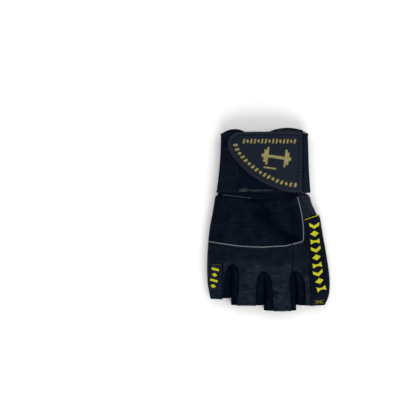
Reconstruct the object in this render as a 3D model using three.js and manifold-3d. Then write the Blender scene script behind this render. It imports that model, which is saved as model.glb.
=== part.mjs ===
// A right-hand weightlifting glove with half fingers and a wrist wrap, lying palm down.
// Millimetres. +X is the thumb side, +Y the wrist end and +Z up from the table. While it is
// modelled, y is 0 at the strap's lower edge and x is 0 on the hand's axis. The finished
// group is moved so that its origin is the middle of its footprint.
import * as THREE from "three";
import { mergeVertices } from "three/addons/utils/BufferGeometryUtils.js";
import Module from "manifold-3d";

// Driving dimensions of the hand
const HAND_LENGTH = 119; // strap's lower edge to the middle fingertip
const PALM_WIDTH = 124;
const HAND_HEIGHT = 22; // over the knuckles
const PALM_ROUND = 9; // how far the palm leather curls up at each side

// The wrist
const STRAP_WIDTH = 60;
const CUFF_OVERHANG = 1; // cuff past the strap at the wrist end
const CUFF_UNDER_HAND = 11; // and under the ribbed panel at the other
const CUFF_WAVE = 4; // height of its waves at the wrist end
const WRIST_LOWER = { little: -49.9, thumb: 37.9 }; // cuff's sides at the strap's lower edge
const WRIST_UPPER = { little: -45.5, thumb: 35.5 }; // and at its upper edge
const WRIST_HEIGHT = 14.5;
const WRIST_EASE = 4; // length over which the hand narrows into the strap
const WRIST_RISE = 12; // and over which the palm leather lifts off the table there

// Walls
const LEATHER = 1.6;
const PALM_LEATHER = 1.8;
const RIB_FABRIC = 1.3;
const GUSSET = 1.2;
const CUFF_WALL = 1.6;
const STRAP_WALL = 2;
const PATCH_WALL = 0.9;
const TAB_WALL = 1.5;
const TAB_RIM = { width: 3.2, height: 0.6 };
const PIPING = 1.3;
const BINDING = { width: 2.2, height: 2.4 };

// Clearances
const GAP = 0.3; // between pieces that lie on each other
const SEAM = 0.3; // between leathers sewn edge to edge
const SLIT = 2; // between the palm sides of two fingers
const GUSSET_LAP = 1.2; // how far a leather edge covers the gusset below it

// Across the glove. Run is the distance from the strap's lower edge to the fingertips as a
// share of HAND_LENGTH. Little and thumb are the two outlines as shares of PALM_WIDTH, and
// crown is the height of the back as a share of HAND_HEIGHT.
const HAND = [
  { run: 0.0, little: -0.42, thumb: 0.33, crown: 0.82 },
  { run: 0.05, little: -0.434, thumb: 0.343, crown: 0.85 },
  { run: 0.1, little: -0.441, thumb: 0.36, crown: 0.9 },
  { run: 0.18, little: -0.454, thumb: 0.396, crown: 0.92 },
  { run: 0.27, little: -0.471, thumb: 0.431, crown: 0.9 },
  { run: 0.37, little: -0.484, thumb: 0.449, crown: 0.87 },
  { run: 0.46, little: -0.491, thumb: 0.465, crown: 0.89 },
  { run: 0.56, little: -0.496, thumb: 0.481, crown: 0.98 },
  { run: 0.67, little: -0.497, thumb: 0.497, crown: 0.97 },
  { run: 0.77, little: -0.492, thumb: 0.503, crown: 0.89 },
  { run: 0.87, little: -0.476, thumb: 0.496, crown: 0.8 },
  { run: 0.95, little: -0.46, thumb: 0.465, crown: 0.74 },
  { run: 1.05, little: -0.44, thumb: 0.44, crown: 0.7 },
];
const SEAM_HEIGHT = 0.27; // side seam, as a share of HAND_HEIGHT
const BACK_FULLNESS = 2.4; // superellipse exponent of the back, 2 is an ellipse

// The gaps between the fingers as they show from above: an arch at the crotch, then straight
// legs. Crotch, foot and arch are shares of HAND_LENGTH, the rest shares of PALM_WIDTH. Lean
// and the flares are the change per share of HAND_LENGTH.
const GAPS = [
  { name: "little_ring", crotch: 0.598, foot: 0.05, arch: 0.13, centre: -0.291, lean: -0.028,
    little: 0.056, littleFlare: 0.034, thumb: 0.056, thumbFlare: -0.04 },
  { name: "ring_middle", crotch: 0.661, foot: 0.05, arch: 0.13, centre: -0.035, lean: 0.0,
    little: 0.063, littleFlare: 0.0, thumb: 0.049, thumbFlare: 0.07 },
  { name: "middle_index", crotch: 0.66, foot: 0.05, arch: 0.13, centre: 0.205, lean: 0.07,
    little: 0.046, littleFlare: -0.03, thumb: 0.079, thumbFlare: -0.02 },
];
const VALLEY = { depth: 0.2, width: 0.075 }; // dip of the back along each gap

// Where each finger stall ends, as a share of HAND_LENGTH, little to index
const TIPS = [0.895, 0.954, 1, 0.955];

// Waves of the cuff past the strap: where they start and end as shares of PALM_WIDTH, and
// how high they are as a share of CUFF_WAVE.
const CUFF_WAVES = [
  { from: -0.36, to: -0.2, height: 0.7 },
  { from: 0.01, to: 0.31, height: 1 },
];

// Seams on the back. Across is a share of PALM_WIDTH, run a share of HAND_LENGTH.
const CUFF_LINE = [
  { across: -0.6, run: 0.023 },
  { across: -0.37, run: 0.024 },
  { across: -0.16, run: 0.048 },
  { across: -0.03, run: 0.06 },
  { across: 0.12, run: 0.05 },
  { across: 0.228, run: 0.029 },
];
const KNUCKLE_LINE = [
  { across: -0.6, run: 0.4 },
  { across: -0.49, run: 0.411 },
  { across: -0.33, run: 0.434 },
  { across: -0.23, run: 0.447 },
  { across: -0.07, run: 0.4545 },
  { across: 0.05, run: 0.449 },
  { across: 0.13, run: 0.444 },
  { across: 0.189, run: 0.43 },
  { across: 0.281, run: 0.409 },
];
const SIDE_LINE = [
  { run: -0.02, across: 0.226 },
  { run: 0.029, across: 0.233 },
  { run: 0.087, across: 0.247 },
  { run: 0.154, across: 0.261 },
  { run: 0.23, across: 0.273 },
  { run: 0.314, across: 0.28 },
  { run: 0.409, across: 0.281 },
];
const STRIP_LINE = [
  { run: 0.2, across: 0.285 },
  { run: 0.3, across: 0.2875 },
  { run: 0.421, across: 0.291 },
  { run: 0.48, across: 0.302 },
  { run: 0.565, across: 0.313 },
  { run: 0.65, across: 0.323 },
  { run: 0.733, across: 0.332 },
  { run: 0.82, across: 0.339 },
  { run: 1.05, across: 0.343 },
];
const INDEX_LINE = [
  { run: 0.4, across: 0.1855 },
  { run: 0.45, across: 0.186 },
  { run: 0.52, across: 0.193 },
  { run: 0.6, across: 0.191 },
  { run: 0.68, across: 0.189 },
];
const STRIP_TOP = { inner: 0.221, outer: 0.18 }; // run of the side strip's two upper corners
const STRIP_FLARE = { out: 2.2, length: 14 }; // its outer corner stands off the hand
const LITTLE_STRIP = { run: 0.595, across: -0.374 }; // its top edge and inner edge
const THUMB_HOLE = { across: 0.252, run: 0.255, halfWidth: 11.5, halfLength: 18 };
const SIDE_BEND = 1.5; // radius of the side piping's corner

// The closure on the strap. TAB_EDGE is the tab's straight edge, from the axis. The outline
// runs from that edge's foot round to the tab's top, with along as a share of TAB_LENGTH
// from the edge and up as a share of STRAP_WIDTH. The patch's ends are measured from the
// same edge, its sides from the strap's edges.
const TAB_EDGE = 33.2;
const TAB_LENGTH = 74;
const PATCH = { thumb: 7, little: 64, lower: 2, upper: 10 };
const TAB_OUTLINE = [
  { along: 0, up: 0.006 },
  { along: 0.124, up: 0.004 },
  { along: 0.266, up: 0.033 },
  { along: 0.428, up: 0.108 },
  { along: 0.604, up: 0.217 },
  { along: 0.766, up: 0.367 },
  { along: 0.908, up: 0.55 },
  { along: 0.978, up: 0.692 },
  { along: 1, up: 0.817 },
  { along: 0.973, up: 0.925 },
  { along: 0.888, up: 1 },
];

const SURFACE_COLUMNS = 30;

const wasm = await Module();
wasm.setup();

const mix = (a, b, share) => a + (b - a) * share;
const clamp = (value, low, high) => Math.min(high, Math.max(low, value));
const smooth = (share) => {
  const s = clamp(share, 0, 1);
  return s * s * (3 - 2 * s);
};
const signedPower = (value, power) => Math.sign(value) * Math.abs(value) ** power;

// One column of a table at a place along its key column, on a smooth curve through the rows.
function read(table, key, column, place) {
  const last = table.length - 1;
  const at = clamp(place, table[0][key], table[last][key]);
  const i = Math.min(last - 1, Math.max(0, table.findIndex((row) => row[key] >= at) - 1));
  const slope = (k) => {
    const [a, b] = [table[Math.max(0, k - 1)], table[Math.min(last, k + 1)]];
    return (b[column] - a[column]) / (b[key] - a[key]);
  };
  const step = table[i + 1][key] - table[i][key];
  const t = (at - table[i][key]) / step;
  const h = t * t * (3 - 2 * t);
  return (
    mix(table[i][column], table[i + 1][column], h) +
    step * (t * (1 - t) ** 2 * slope(i) - t * t * (1 - t) * slope(i + 1))
  );
}

const runAt = (y) => -y / HAND_LENGTH;
const yAt = (run) => -run * HAND_LENGTH;
const xAt = (across) => across * PALM_WIDTH;
const acrossLine = (line) => (x) => yAt(read(line, "across", "run", x / PALM_WIDTH));
const alongLine = (line) => (y) => xAt(read(line, "run", "across", runAt(y)));

const cuffLine = acrossLine(CUFF_LINE);
const knuckleLine = acrossLine(KNUCKLE_LINE);
const sideLine = alongLine(SIDE_LINE);
const stripLine = alongLine(STRIP_LINE);
const indexLine = alongLine(INDEX_LINE);
const wristBase = STRAP_WALL + GAP;
const tabEdgeToStrap = TAB_EDGE + GAP;

// The glove's cross-section at y: the two outlines, the height of the back, of the side
// seams and of the underside.
function section(y) {
  const inStrap = 1 - (1 - clamp(y / STRAP_WIDTH, 0, 1)) ** 2;
  const wrist = {
    little: mix(WRIST_LOWER.little, WRIST_UPPER.little, inStrap),
    thumb: mix(WRIST_LOWER.thumb, WRIST_UPPER.thumb, inStrap),
    crown: wristBase + WRIST_HEIGHT,
    seam: wristBase + WRIST_HEIGHT / 2,
    base: wristBase,
  };
  if (y >= 0) return wrist;
  const place = runAt(y);
  const hand = {
    little: xAt(read(HAND, "run", "little", place)),
    thumb: xAt(read(HAND, "run", "thumb", place)),
    crown: HAND_HEIGHT * read(HAND, "run", "crown", place),
    seam: HAND_HEIGHT * SEAM_HEIGHT,
    base: 0,
  };
  const share = smooth(-y / WRIST_EASE);
  const later = smooth(-y / WRIST_RISE);
  return {
    little: mix(wrist.little, hand.little, share),
    thumb: mix(wrist.thumb, hand.thumb, share),
    crown: mix(wrist.crown, hand.crown, later),
    seam: mix(wrist.seam, hand.seam, later),
    base: mix(wrist.base, hand.base, later),
  };
}

// Middle of a gap between two fingers, and its half width d past the crotch on one side.
const gapCentre = (gap, y) =>
  xAt(gap.centre) + xAt(gap.lean) * (runAt(y) - gap.crotch);
const gapHalf = (gap, side, d) =>
  xAt(gap[side]) + xAt(gap[side + "Flare"]) * (d / HAND_LENGTH);

// The back dips along the gaps, from a little above each crotch to the fingertips.
function valley(x, y) {
  let dip = 0;
  for (const gap of GAPS) {
    const away = (x - gapCentre(gap, y)) / xAt(VALLEY.width);
    const share = smooth((runAt(y) - gap.crotch + 0.08) / 0.14);
    dip += share * Math.exp(-away * away);
  }
  return HAND_HEIGHT * VALLEY.depth * dip;
}

// A point on the back, turn from -1 at the little side's seam to 1 at the thumb side's, and
// depth below the outer surface (negative is above it).
function backPoint(y, turn, depth = 0) {
  const s = section(y);
  const power = 2 / BACK_FULLNESS;
  const angle = (turn * Math.PI) / 2;
  const middle = (s.little + s.thumb) / 2;
  const half = (s.thumb - s.little) / 2 - depth;
  const lift = signedPower(Math.cos(angle), power);
  const x = middle + half * signedPower(Math.sin(angle), power);
  const z = s.seam + (s.crown - s.seam - depth) * lift - valley(x, y) * lift;
  return new THREE.Vector3(x, y, z);
}

// Height of the back over a place in plan.
function backHeight(x, y, depth = 0) {
  const s = section(y);
  const middle = (s.little + s.thumb) / 2;
  const half = (s.thumb - s.little) / 2 - depth;
  const reach = clamp(Math.abs(x - middle) / half, 0, 0.9999);
  const lift = (1 - reach ** BACK_FULLNESS) ** (1 / BACK_FULLNESS);
  return s.seam + (s.crown - s.seam - depth) * lift - valley(x, y) * lift;
}

// A point on the underside, turn from -1 at the little side's seam to 1 at the thumb side's:
// a quarter ellipse at each side and flat between -FLAT and FLAT.
const FLAT = 0.62;
function palmPoint(y, turn, depth = 0, sideDepth = depth) {
  const s = section(y);
  const from = turn < 0 ? s.little : s.thumb;
  const inward = turn < 0 ? 1 : -1;
  const share = clamp((1 - Math.abs(turn)) / (1 - FLAT), 0, 1);
  const angle = (share * Math.PI) / 2;
  const edge = from + inward * PALM_ROUND;
  if (share < 1) {
    const round = PALM_ROUND - sideDepth;
    const x = edge - inward * round * Math.cos(angle);
    const z = s.seam - (s.seam - s.base - depth) * Math.sin(angle);
    return new THREE.Vector3(x, y, z);
  }
  const left = s.little + PALM_ROUND;
  const right = s.thumb - PALM_ROUND;
  const x = mix(left, right, (turn / FLAT + 1) / 2);
  return new THREE.Vector3(x, y, s.base + depth);
}

// Closed mesh through polygons with equal numbers of points, with flat ends.
function loft(polygons) {
  const plan = (points) => points.map((p) => new THREE.Vector2(p.x, p.z));
  const clockwise = THREE.ShapeUtils.isClockWise(plan(polygons[0]));
  const rows = clockwise ? polygons : polygons.map((points) => [...points].reverse());
  const n = rows[0].length;
  const position = rows.flatMap((points) => points.flatMap((p) => [p.x, p.y, p.z]));
  const index = [];
  for (let j = 0; j + 1 < rows.length; j++)
    for (let i = 0; i < n; i++) {
      const [a, b] = [j * n + i, j * n + ((i + 1) % n)];
      index.push(a, b, b + n, a, b + n, a + n);
    }
  const end = (points, start, flip) => {
    for (const [a, b, c] of THREE.ShapeUtils.triangulateShape(plan(points), []))
      index.push(start + a, start + (flip ? c : b), start + (flip ? b : c));
  };
  end(rows[0], 0, false);
  end(rows[rows.length - 1], (rows.length - 1) * n, true);
  return meshFrom(position, index);
}

// Closed mesh of a tube with a wall: outer and inner are rows of rings.
function tube(outer, inner) {
  const rows = outer.length;
  const n = outer[0].length;
  const rings = [...outer, ...[...inner].reverse()];
  const position = rings.flatMap((ring) => ring.flatMap((p) => [p.x, p.y, p.z]));
  const index = [];
  for (let j = 0; j < 2 * rows; j++)
    for (let i = 0; i < n; i++) {
      const [k, l] = [j * n, ((j + 1) % (2 * rows)) * n];
      const m = (i + 1) % n;
      index.push(k + i, k + m, l + m, k + i, l + m, l + i);
    }
  return meshFrom(position, index);
}

function meshFrom(position, index) {
  const geometry = new THREE.BufferGeometry();
  geometry.setAttribute("position", new THREE.Float32BufferAttribute(position, 3));
  geometry.setIndex(index);
  return geometry;
}

// three.js geometry to a solid, turned right side out, and back.
function solid(geometry) {
  const bare = geometry.clone();
  bare.deleteAttribute("normal");
  bare.deleteAttribute("uv");
  const merged = mergeVertices(bare, 1e-4);
  const vertProperties = new Float32Array(merged.attributes.position.array);
  const triVerts = new Uint32Array(merged.index.array);
  const made = new wasm.Manifold(new wasm.Mesh({ numProp: 3, vertProperties, triVerts }));
  if (made.volume() > 0) return made;
  for (let i = 0; i < triVerts.length; i += 3)
    [triVerts[i + 1], triVerts[i + 2]] = [triVerts[i + 2], triVerts[i + 1]];
  return new wasm.Manifold(new wasm.Mesh({ numProp: 3, vertProperties, triVerts }));
}

function geometryOf(cut) {
  const mesh = cut.getMesh();
  const position = new THREE.BufferAttribute(new Float32Array(mesh.vertProperties), 3);
  const geometry = new THREE.BufferGeometry().setAttribute("position", position);
  geometry.setIndex(new THREE.BufferAttribute(new Uint32Array(mesh.triVerts), 1));
  geometry.computeVertexNormals();
  return geometry;
}

// How far cutting prisms reach past what they cut.
const PAST = 5;
const beyond = 0.7 * PALM_WIDTH;
const skinEnd = yAt(1.03);
const pastEnd = skinEnd - PAST;

// A vertical prism over points in plan.
function prism(points, low = -PAST, high = 2 * HAND_HEIGHT) {
  const corners = points.map(([x, y]) => new THREE.Vector2(x, y));
  const apart = (p, i) => p.distanceTo(corners[(i + 1) % corners.length]) > 0.01;
  const shape = new THREE.Shape(corners.filter(apart));
  const geometry = new THREE.ExtrudeGeometry(shape, { depth: high - low, bevelEnabled: false });
  return solid(geometry.translate(0, 0, low));
}
const block = (left, right, top, bottom, low, high) =>
  prism([[left, top], [left, bottom], [right, bottom], [right, top]], low, high);

// Points of a line in plan: crosswise as y of x, lengthwise as x of y.
function crosswise(line, from, to, count = 24) {
  return Array.from({ length: count + 1 }, (_, i) => {
    const x = mix(from, to, i / count);
    return [x, line(x)];
  });
}
function lengthwise(line, from, to, count = 24) {
  return Array.from({ length: count + 1 }, (_, i) => {
    const y = mix(from, to, i / count);
    return [line(y), y];
  });
}

// A thin prism along a line in plan, which parts two panels.
function knife(line, width) {
  const side = (share) =>
    line.map(([x, y], i) => {
      const a = line[Math.max(0, i - 1)];
      const b = line[Math.min(line.length - 1, i + 1)];
      const across = new THREE.Vector2(a[1] - b[1], b[0] - a[0]).setLength(width * share);
      return [x + across.x, y + across.y];
    });
  return prism([...side(0.5), ...side(-0.5).reverse()]);
}

// Places along the hand that its panels share, closer together where it rises to the wrist.
const HAND_ROWS = [
  -GAP,
  ...[0.15, 0.35, 0.6, 0.85].map((share) => -share * WRIST_RISE),
  ...Array.from({ length: 21 }, (_, i) => mix(-1.1 * WRIST_RISE, skinEnd, i / 20)),
];

// The skin of the back from the strap to the fingertips, between two depths, and pushed
// outward at the thumb side by flare(y).
function skin(from, to, flare = () => 0) {
  const turns = Array.from({ length: SURFACE_COLUMNS + 1 }, (_, i) =>
    mix(-1, 1, i / SURFACE_COLUMNS),
  );
  const lifted = (y, turn, depth) => {
    const p = backPoint(y, turn, depth);
    p.x += flare(y) * smooth(2 * turn - 1);
    return p.setZ(Math.max(p.z, section(y).seam + SEAM / 2));
  };
  const polygons = HAND_ROWS.map((y) => {
    const outer = turns.map((turn) => lifted(y, turn, from));
    const inner = turns.map((turn) => lifted(y, turn, to));
    return [...outer, ...inner.reverse()];
  });
  return solid(loft(polygons));
}

const leatherSkin = skin(0, LEATHER);
const fabricSkin = skin(0, RIB_FABRIC);
const leatherAndGap = skin(-LEATHER, LEATHER + GAP);
const flareFrom = yAt(STRIP_TOP.outer) - STRIP_FLARE.length;
const stripSkin = skin(0, LEATHER, (y) => STRIP_FLARE.out * smooth((y - flareFrom) / STRIP_FLARE.length));

// The opening between two fingers as seen from above.
const ARCH_STEPS = 8;
const quarter = (step) => (step / ARCH_STEPS) * (Math.PI / 2);
function gapPoints(gap) {
  const arch = gap.arch * HAND_LENGTH;
  const point = (side, sign, d, share) => {
    const y = yAt(gap.crotch) - d;
    return [gapCentre(gap, y) + sign * gapHalf(gap, side, d) * share, y];
  };
  const leg = (side, sign) => [
    ...Array.from({ length: ARCH_STEPS + 1 }, (_, i) =>
      point(side, sign, arch * (1 - Math.cos(quarter(i))), Math.sin(quarter(i))),
    ),
    point(side, sign, yAt(gap.crotch) - pastEnd, 1),
  ];
  return [...leg("little", -1).reverse(), ...leg("thumb", 1).slice(1)];
}
const gapPrisms = GAPS.map((gap) => prism(gapPoints(gap)));
const gapEnd = (k) => gapCentre(GAPS[k], skinEnd);
const [littleTip, ringTip, middleTip, indexTip] = TIPS.map(yAt);

// Corners where the seams meet.
const cuffCorner = yAt(CUFF_LINE.at(-1).run);
const sideCorner = yAt(KNUCKLE_LINE.at(-1).run);
const cornerX = xAt(KNUCKLE_LINE.at(-1).across);
const indexCorner = yAt(INDEX_LINE[1].run);
const indexFoot = yAt(INDEX_LINE.at(-1).run);
const stripCorner = yAt(STRIP_TOP.inner);
const stripTop = (x) => {
  const [from, to] = [stripLine(stripCorner), section(yAt(STRIP_TOP.outer)).thumb];
  return yAt(mix(STRIP_TOP.inner, STRIP_TOP.outer, (x - from) / (to - from)));
};

// The two pipings in plan. The side piping bends round the corner into the knuckle seam.
const pipingsMeet = indexLine(indexCorner) + PIPING;
const sidePath = [
  ...lengthwise(sideLine, cuffCorner - 2 * GAP, sideCorner + 2 * SIDE_BEND, 10),
  [cornerX - 0.15 * SIDE_BEND, sideCorner + SIDE_BEND],
  [cornerX - 0.6 * SIDE_BEND, sideCorner + 0.5 * SIDE_BEND],
  ...crosswise(knuckleLine, cornerX - 1.4 * SIDE_BEND, pipingsMeet, 4),
];
const littleSide = section(yAt(KNUCKLE_LINE[1].run)).little;
const knucklePath = crosswise(knuckleLine, pipingsMeet - PIPING - GAP, littleSide + PIPING / 2, 16);

// Knives along the seams. A piped seam is wide enough for the piping and its clearance.
const piped = PIPING + 2 * GAP;
const knives = {
  cuff: knife(crosswise(cuffLine, -beyond, sideLine(cuffCorner) + SEAM), SEAM),
  side: knife([[sideLine(PAST), PAST], ...sidePath], piped),
  knuckle: knife(crosswise(knuckleLine, -beyond, cornerX + 2 * piped), piped),
  strip: knife(lengthwise(stripLine, stripCorner + PAST, pastEnd), SEAM),
  stripTop: knife(crosswise(stripTop, stripLine(stripCorner) - PIPING, beyond, 2), SEAM),
  index: knife(lengthwise(indexLine, indexCorner + PAST, indexFoot), SEAM),
};

const cutAway = (body, ...tools) => tools.reduce((rest, tool) => rest.subtract(tool), body);

const ribPanel = cutAway(
  fabricSkin.intersect(
    prism([
      ...crosswise(cuffLine, -beyond, sideLine(cuffCorner)),
      ...lengthwise(sideLine, cuffCorner, sideCorner),
      ...crosswise(knuckleLine, cornerX, -beyond),
    ]),
  ),
  knives.cuff,
  knives.side,
  knives.knuckle,
);

const thumbSidePanel = cutAway(
  leatherSkin.intersect(
    prism([
      [beyond, 0],
      ...lengthwise(sideLine, 0, stripCorner),
      ...crosswise(stripTop, stripLine(stripCorner), beyond, 2),
    ]),
  ),
  knives.side,
  knives.stripTop,
);

const sideStrip = cutAway(
  stripSkin.intersect(
    prism([
      ...crosswise(stripTop, beyond, stripLine(stripCorner), 2),
      ...lengthwise(stripLine, stripCorner, indexTip),
      [beyond, indexTip],
    ]),
  ),
  knives.side,
  knives.stripTop,
  knives.strip,
);

const indexPanel = cutAway(
  leatherSkin.intersect(
    prism([
      ...crosswise(knuckleLine, stripLine(sideCorner), indexLine(indexCorner)),
      ...lengthwise(indexLine, indexCorner, indexFoot),
      [gapCentre(GAPS[2], indexTip), indexTip],
      ...lengthwise(stripLine, indexTip, sideCorner),
    ]),
  ),
  knives.side,
  knives.knuckle,
  knives.index,
  knives.strip,
  gapPrisms[2],
);

const littleStripTop = yAt(LITTLE_STRIP.run);
const littleStripEdge = xAt(LITTLE_STRIP.across);
const knucklePanel = cutAway(
  leatherSkin.intersect(
    prism([
      ...crosswise(knuckleLine, -beyond, indexLine(indexCorner)),
      ...lengthwise(indexLine, indexCorner, indexFoot),
      [gapEnd(2), middleTip],
      [gapEnd(1), middleTip],
      [gapEnd(1), ringTip],
      [gapEnd(0), ringTip],
      [gapEnd(0), littleTip],
      [-beyond, littleTip],
    ]),
  ),
  knives.knuckle,
  knives.index,
  ...gapPrisms,
  block(-beyond, littleStripEdge + SEAM, littleStripTop + SEAM, pastEnd),
);

const littleStrip = leatherSkin.intersect(
  block(-beyond, littleStripEdge, littleStripTop, littleTip),
);

// The palm leather: flat where it lies on the table, curled up to the side seams, slit between
// the fingers and with a hole for the thumb.
function palmBlank() {
  const turns = [-1, -0.92, -0.84, -0.76, -0.69, -FLAT, 0, FLAT, 0.69, 0.76, 0.84, 0.92, 1];
  const polygons = HAND_ROWS.slice(1).map((y) => {
    const top = section(y).seam - SEAM / 2;
    const lowered = (turn, depth) => {
      const p = palmPoint(y, turn, depth);
      return p.setZ(Math.min(p.z, top));
    };
    const outer = turns.map((turn) => lowered(turn, 0));
    const inner = turns.map((turn) => lowered(turn, PALM_LEATHER));
    return [...inner, ...outer.reverse()];
  });
  return solid(loft(polygons));
}

const slitTop = (gap) => yAt(gap.crotch + gap.foot);
function slitPoints(gap) {
  const half = SLIT / 2;
  const round = Array.from({ length: 2 * ARCH_STEPS + 1 }, (_, i) => {
    const y = slitTop(gap) - half + half * Math.sin(quarter(i));
    return [gapCentre(gap, y) - half * Math.cos(quarter(i)), y];
  });
  const foot = (sign) => [gapCentre(gap, pastEnd) + sign * half, pastEnd];
  return [...round, foot(1), foot(-1)];
}

const thumbHole = { x: xAt(THUMB_HOLE.across), y: yAt(THUMB_HOLE.run) };
const ellipse = (grow, count = 32) =>
  Array.from({ length: count }, (_, i) => {
    const angle = (i / count) * 2 * Math.PI;
    return [
      thumbHole.x + (THUMB_HOLE.halfWidth + grow) * Math.cos(angle),
      thumbHole.y + (THUMB_HOLE.halfLength + grow) * Math.sin(angle),
    ];
  });

const palmLeather = cutAway(
  palmBlank(),
  ...GAPS.map((gap) => prism(slitPoints(gap))),
  ...[
    [-beyond, gapEnd(0), littleTip],
    [gapEnd(0), gapEnd(1), ringTip],
    [gapEnd(1), gapEnd(2), middleTip],
    [gapEnd(2), beyond, indexTip],
  ].map(([from, to, tip]) => block(from, to, tip, pastEnd)),
  prism(ellipse(0)),
);

const thumbBinding = prism(ellipse(-GAP), 0, BINDING.height).subtract(
  prism(ellipse(-GAP - BINDING.width)),
);

// A gusset between two fingers: a strip stood on edge round the gap, from one fingertip up to
// the crotch and down to the other. Its lower edge stands on the palm leather beside the slit
// and its upper edge is under the edges of the leather backs.
const LEG_STEPS = 3;
function gusset(gap, tips) {
  const arch = gap.arch * HAND_LENGTH;
  const column = (side, sign, step, tip, wall) => {
    const angle = quarter(Math.min(step, ARCH_STEPS));
    const leg = Math.max(0, (step - ARCH_STEPS) / LEG_STEPS);
    const lap = GUSSET_LAP + wall;
    const d = mix(arch * (1 - Math.cos(angle)), yAt(gap.crotch) - tip, leg);
    const upperY = yAt(gap.crotch) - d + lap * Math.cos(angle);
    const upperX = gapCentre(gap, upperY) + sign * (gapHalf(gap, side, d) + lap) * Math.sin(angle);
    const foot = GAP + wall;
    const lowerY = mix(slitTop(gap) - SLIT * (1 - Math.cos(angle)), tip, leg) + foot * Math.cos(angle);
    const lowerX = gapCentre(gap, lowerY) + sign * (SLIT / 2 + foot) * Math.sin(angle);
    const lower = new THREE.Vector3(lowerX, lowerY, PALM_LEATHER + GAP);
    const upper = new THREE.Vector3(upperX, upperY, backHeight(upperX, upperY, LEATHER / 2));
    return [0, 1 / 3, 2 / 3, 1].map((share) => lower.clone().lerp(upper, share));
  };
  const steps = Array.from({ length: ARCH_STEPS + LEG_STEPS + 1 }, (_, i) => i);
  const sheet = (wall) => [
    ...[...steps].reverse().map((step) => column("little", -1, step, tips[0], wall)),
    ...steps.slice(1).map((step) => column("thumb", 1, step, tips[1], wall)),
  ];
  const [face, back] = [sheet(0), sheet(GUSSET)];
  const polygons = face.map((points, i) => [...points, ...[...back[i]].reverse()]);
  return solid(strip(polygons)).subtract(leatherAndGap);
}

// Closed mesh through small polygons whose ends are fans of quads.
function strip(polygons) {
  const n = polygons[0].length;
  const position = polygons.flatMap((points) => points.flatMap((p) => [p.x, p.y, p.z]));
  const index = [];
  for (let j = 0; j + 1 < polygons.length; j++)
    for (let i = 0; i < n; i++) {
      const [a, b] = [j * n + i, j * n + ((i + 1) % n)];
      index.push(a, b, b + n, a, b + n, a + n);
    }
  const last = (polygons.length - 1) * n;
  for (let i = 0; i + 1 < n / 2; i++) {
    const [a, b, c, d] = [i, i + 1, n - 2 - i, n - 1 - i];
    index.push(a, c, b, a, d, c);
    index.push(last + a, last + b, last + c, last + a, last + c, last + d);
  }
  return meshFrom(position, index);
}

// A point round the wrist, outside the cuff. Around is -1 at the thumb side's seam, 0 over the
// back, 1 at the little side's seam, 2 under the palm and 3 at the thumb side's seam again.
function wristPoint(y, around, out, side = out) {
  const place = around > 3 ? around - 4 : around;
  if (place <= 1) return backPoint(y, -place, -out);
  return palmPoint(y, place - 2, -Math.min(out, side), -side);
}

// Places round the wrist that the cuff and the strap share, so that they lie parallel.
const OVER_BACK = Array.from({ length: 25 }, (_, i) => i / 12);
const UNDER_PALM = [0.12, 0.24, 0.38, 1, 1.62, 1.76, 1.88];
const ROUND_WRIST = [...OVER_BACK.map((share) => share - 1), ...UNDER_PALM.map((share) => share + 1)];

const STRAP_ROWS = [0, 0.1, 0.25, 0.45, 0.7, 1].map((share) => share * STRAP_WIDTH);

// The cuff: an elastic tube inside the strap, sewn to the ribbed panel at its lower edge and
// waved at the wrist end.
function cuffTube() {
  const wave = (x) =>
    CUFF_WAVES.reduce((sum, { from, to, height }) => {
      const share = clamp((x - xAt(from)) / xAt(to - from), 0, 1);
      return sum + CUFF_WAVE * height * Math.sin(Math.PI * share) ** 0.7;
    }, 0);
  const top = (around) => {
    const overBack = Math.abs(around) < 1;
    const rise = overBack ? wave(wristPoint(STRAP_WIDTH, around, 0).x) : 0;
    return STRAP_WIDTH + CUFF_OVERHANG + rise;
  };
  const rows = [1, 0.7, 0.35, 0.14].map((share) => -share * CUFF_UNDER_HAND);
  const ring = (y, depth) => ROUND_WRIST.map((around) => wristPoint(y(around), around, -depth));
  const rings = (depth) => [
    ...[...rows, ...STRAP_ROWS].map((y) => ring(() => y, depth)),
    ring(top, depth),
  ];
  return solid(tube(rings(0), rings(CUFF_WALL)));
}

// Under the hand only the cuff's back is left, and at the thumb side it ends at the strap.
const cuffBand = cutAway(
  cuffTube(),
  prism([
    ...crosswise(cuffLine, -beyond, sideLine(cuffCorner)),
    [sideLine(0), GAP],
    [beyond, GAP],
    [beyond, -beyond],
    [-beyond, -beyond],
  ]),
  block(-beyond, beyond, 2 * GAP, -beyond, -PAST, section(0).seam),
);

// The strap: one turn round the cuff from the thumb side, up again over its own start and
// on to the tab.
const STRAP_START = 2; // its first place over the back
const CLIMB = { from: 2.5, to: 2.9 }; // around, where it leaves the cuff for its own start
function toStrapEnd(y, out) {
  let [low, high] = [3, 4];
  for (let i = 0; i < 30; i++) {
    const middle = (low + high) / 2;
    if (wristPoint(y, middle, out).x > tabEdgeToStrap) low = middle;
    else high = middle;
  }
  return Array.from({ length: 8 }, (_, i) => mix(3, low, i / 7));
}
function strapBand() {
  const climb = STRAP_WALL + GAP;
  const polygons = STRAP_ROWS.map((y) => {
    const places = [...ROUND_WRIST.slice(STRAP_START), ...toStrapEnd(y, climb + GAP)];
    const side = (extra) =>
      places.map((around) => {
        const rise = climb * smooth((around - CLIMB.from) / (CLIMB.to - CLIMB.from));
        return wristPoint(y, around, (around >= 3 ? rise : 0) + GAP + extra, rise + GAP + extra);
      });
    return [...side(STRAP_WALL), ...side(0).reverse()];
  });
  return solid(loft(polygons));
}

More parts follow.
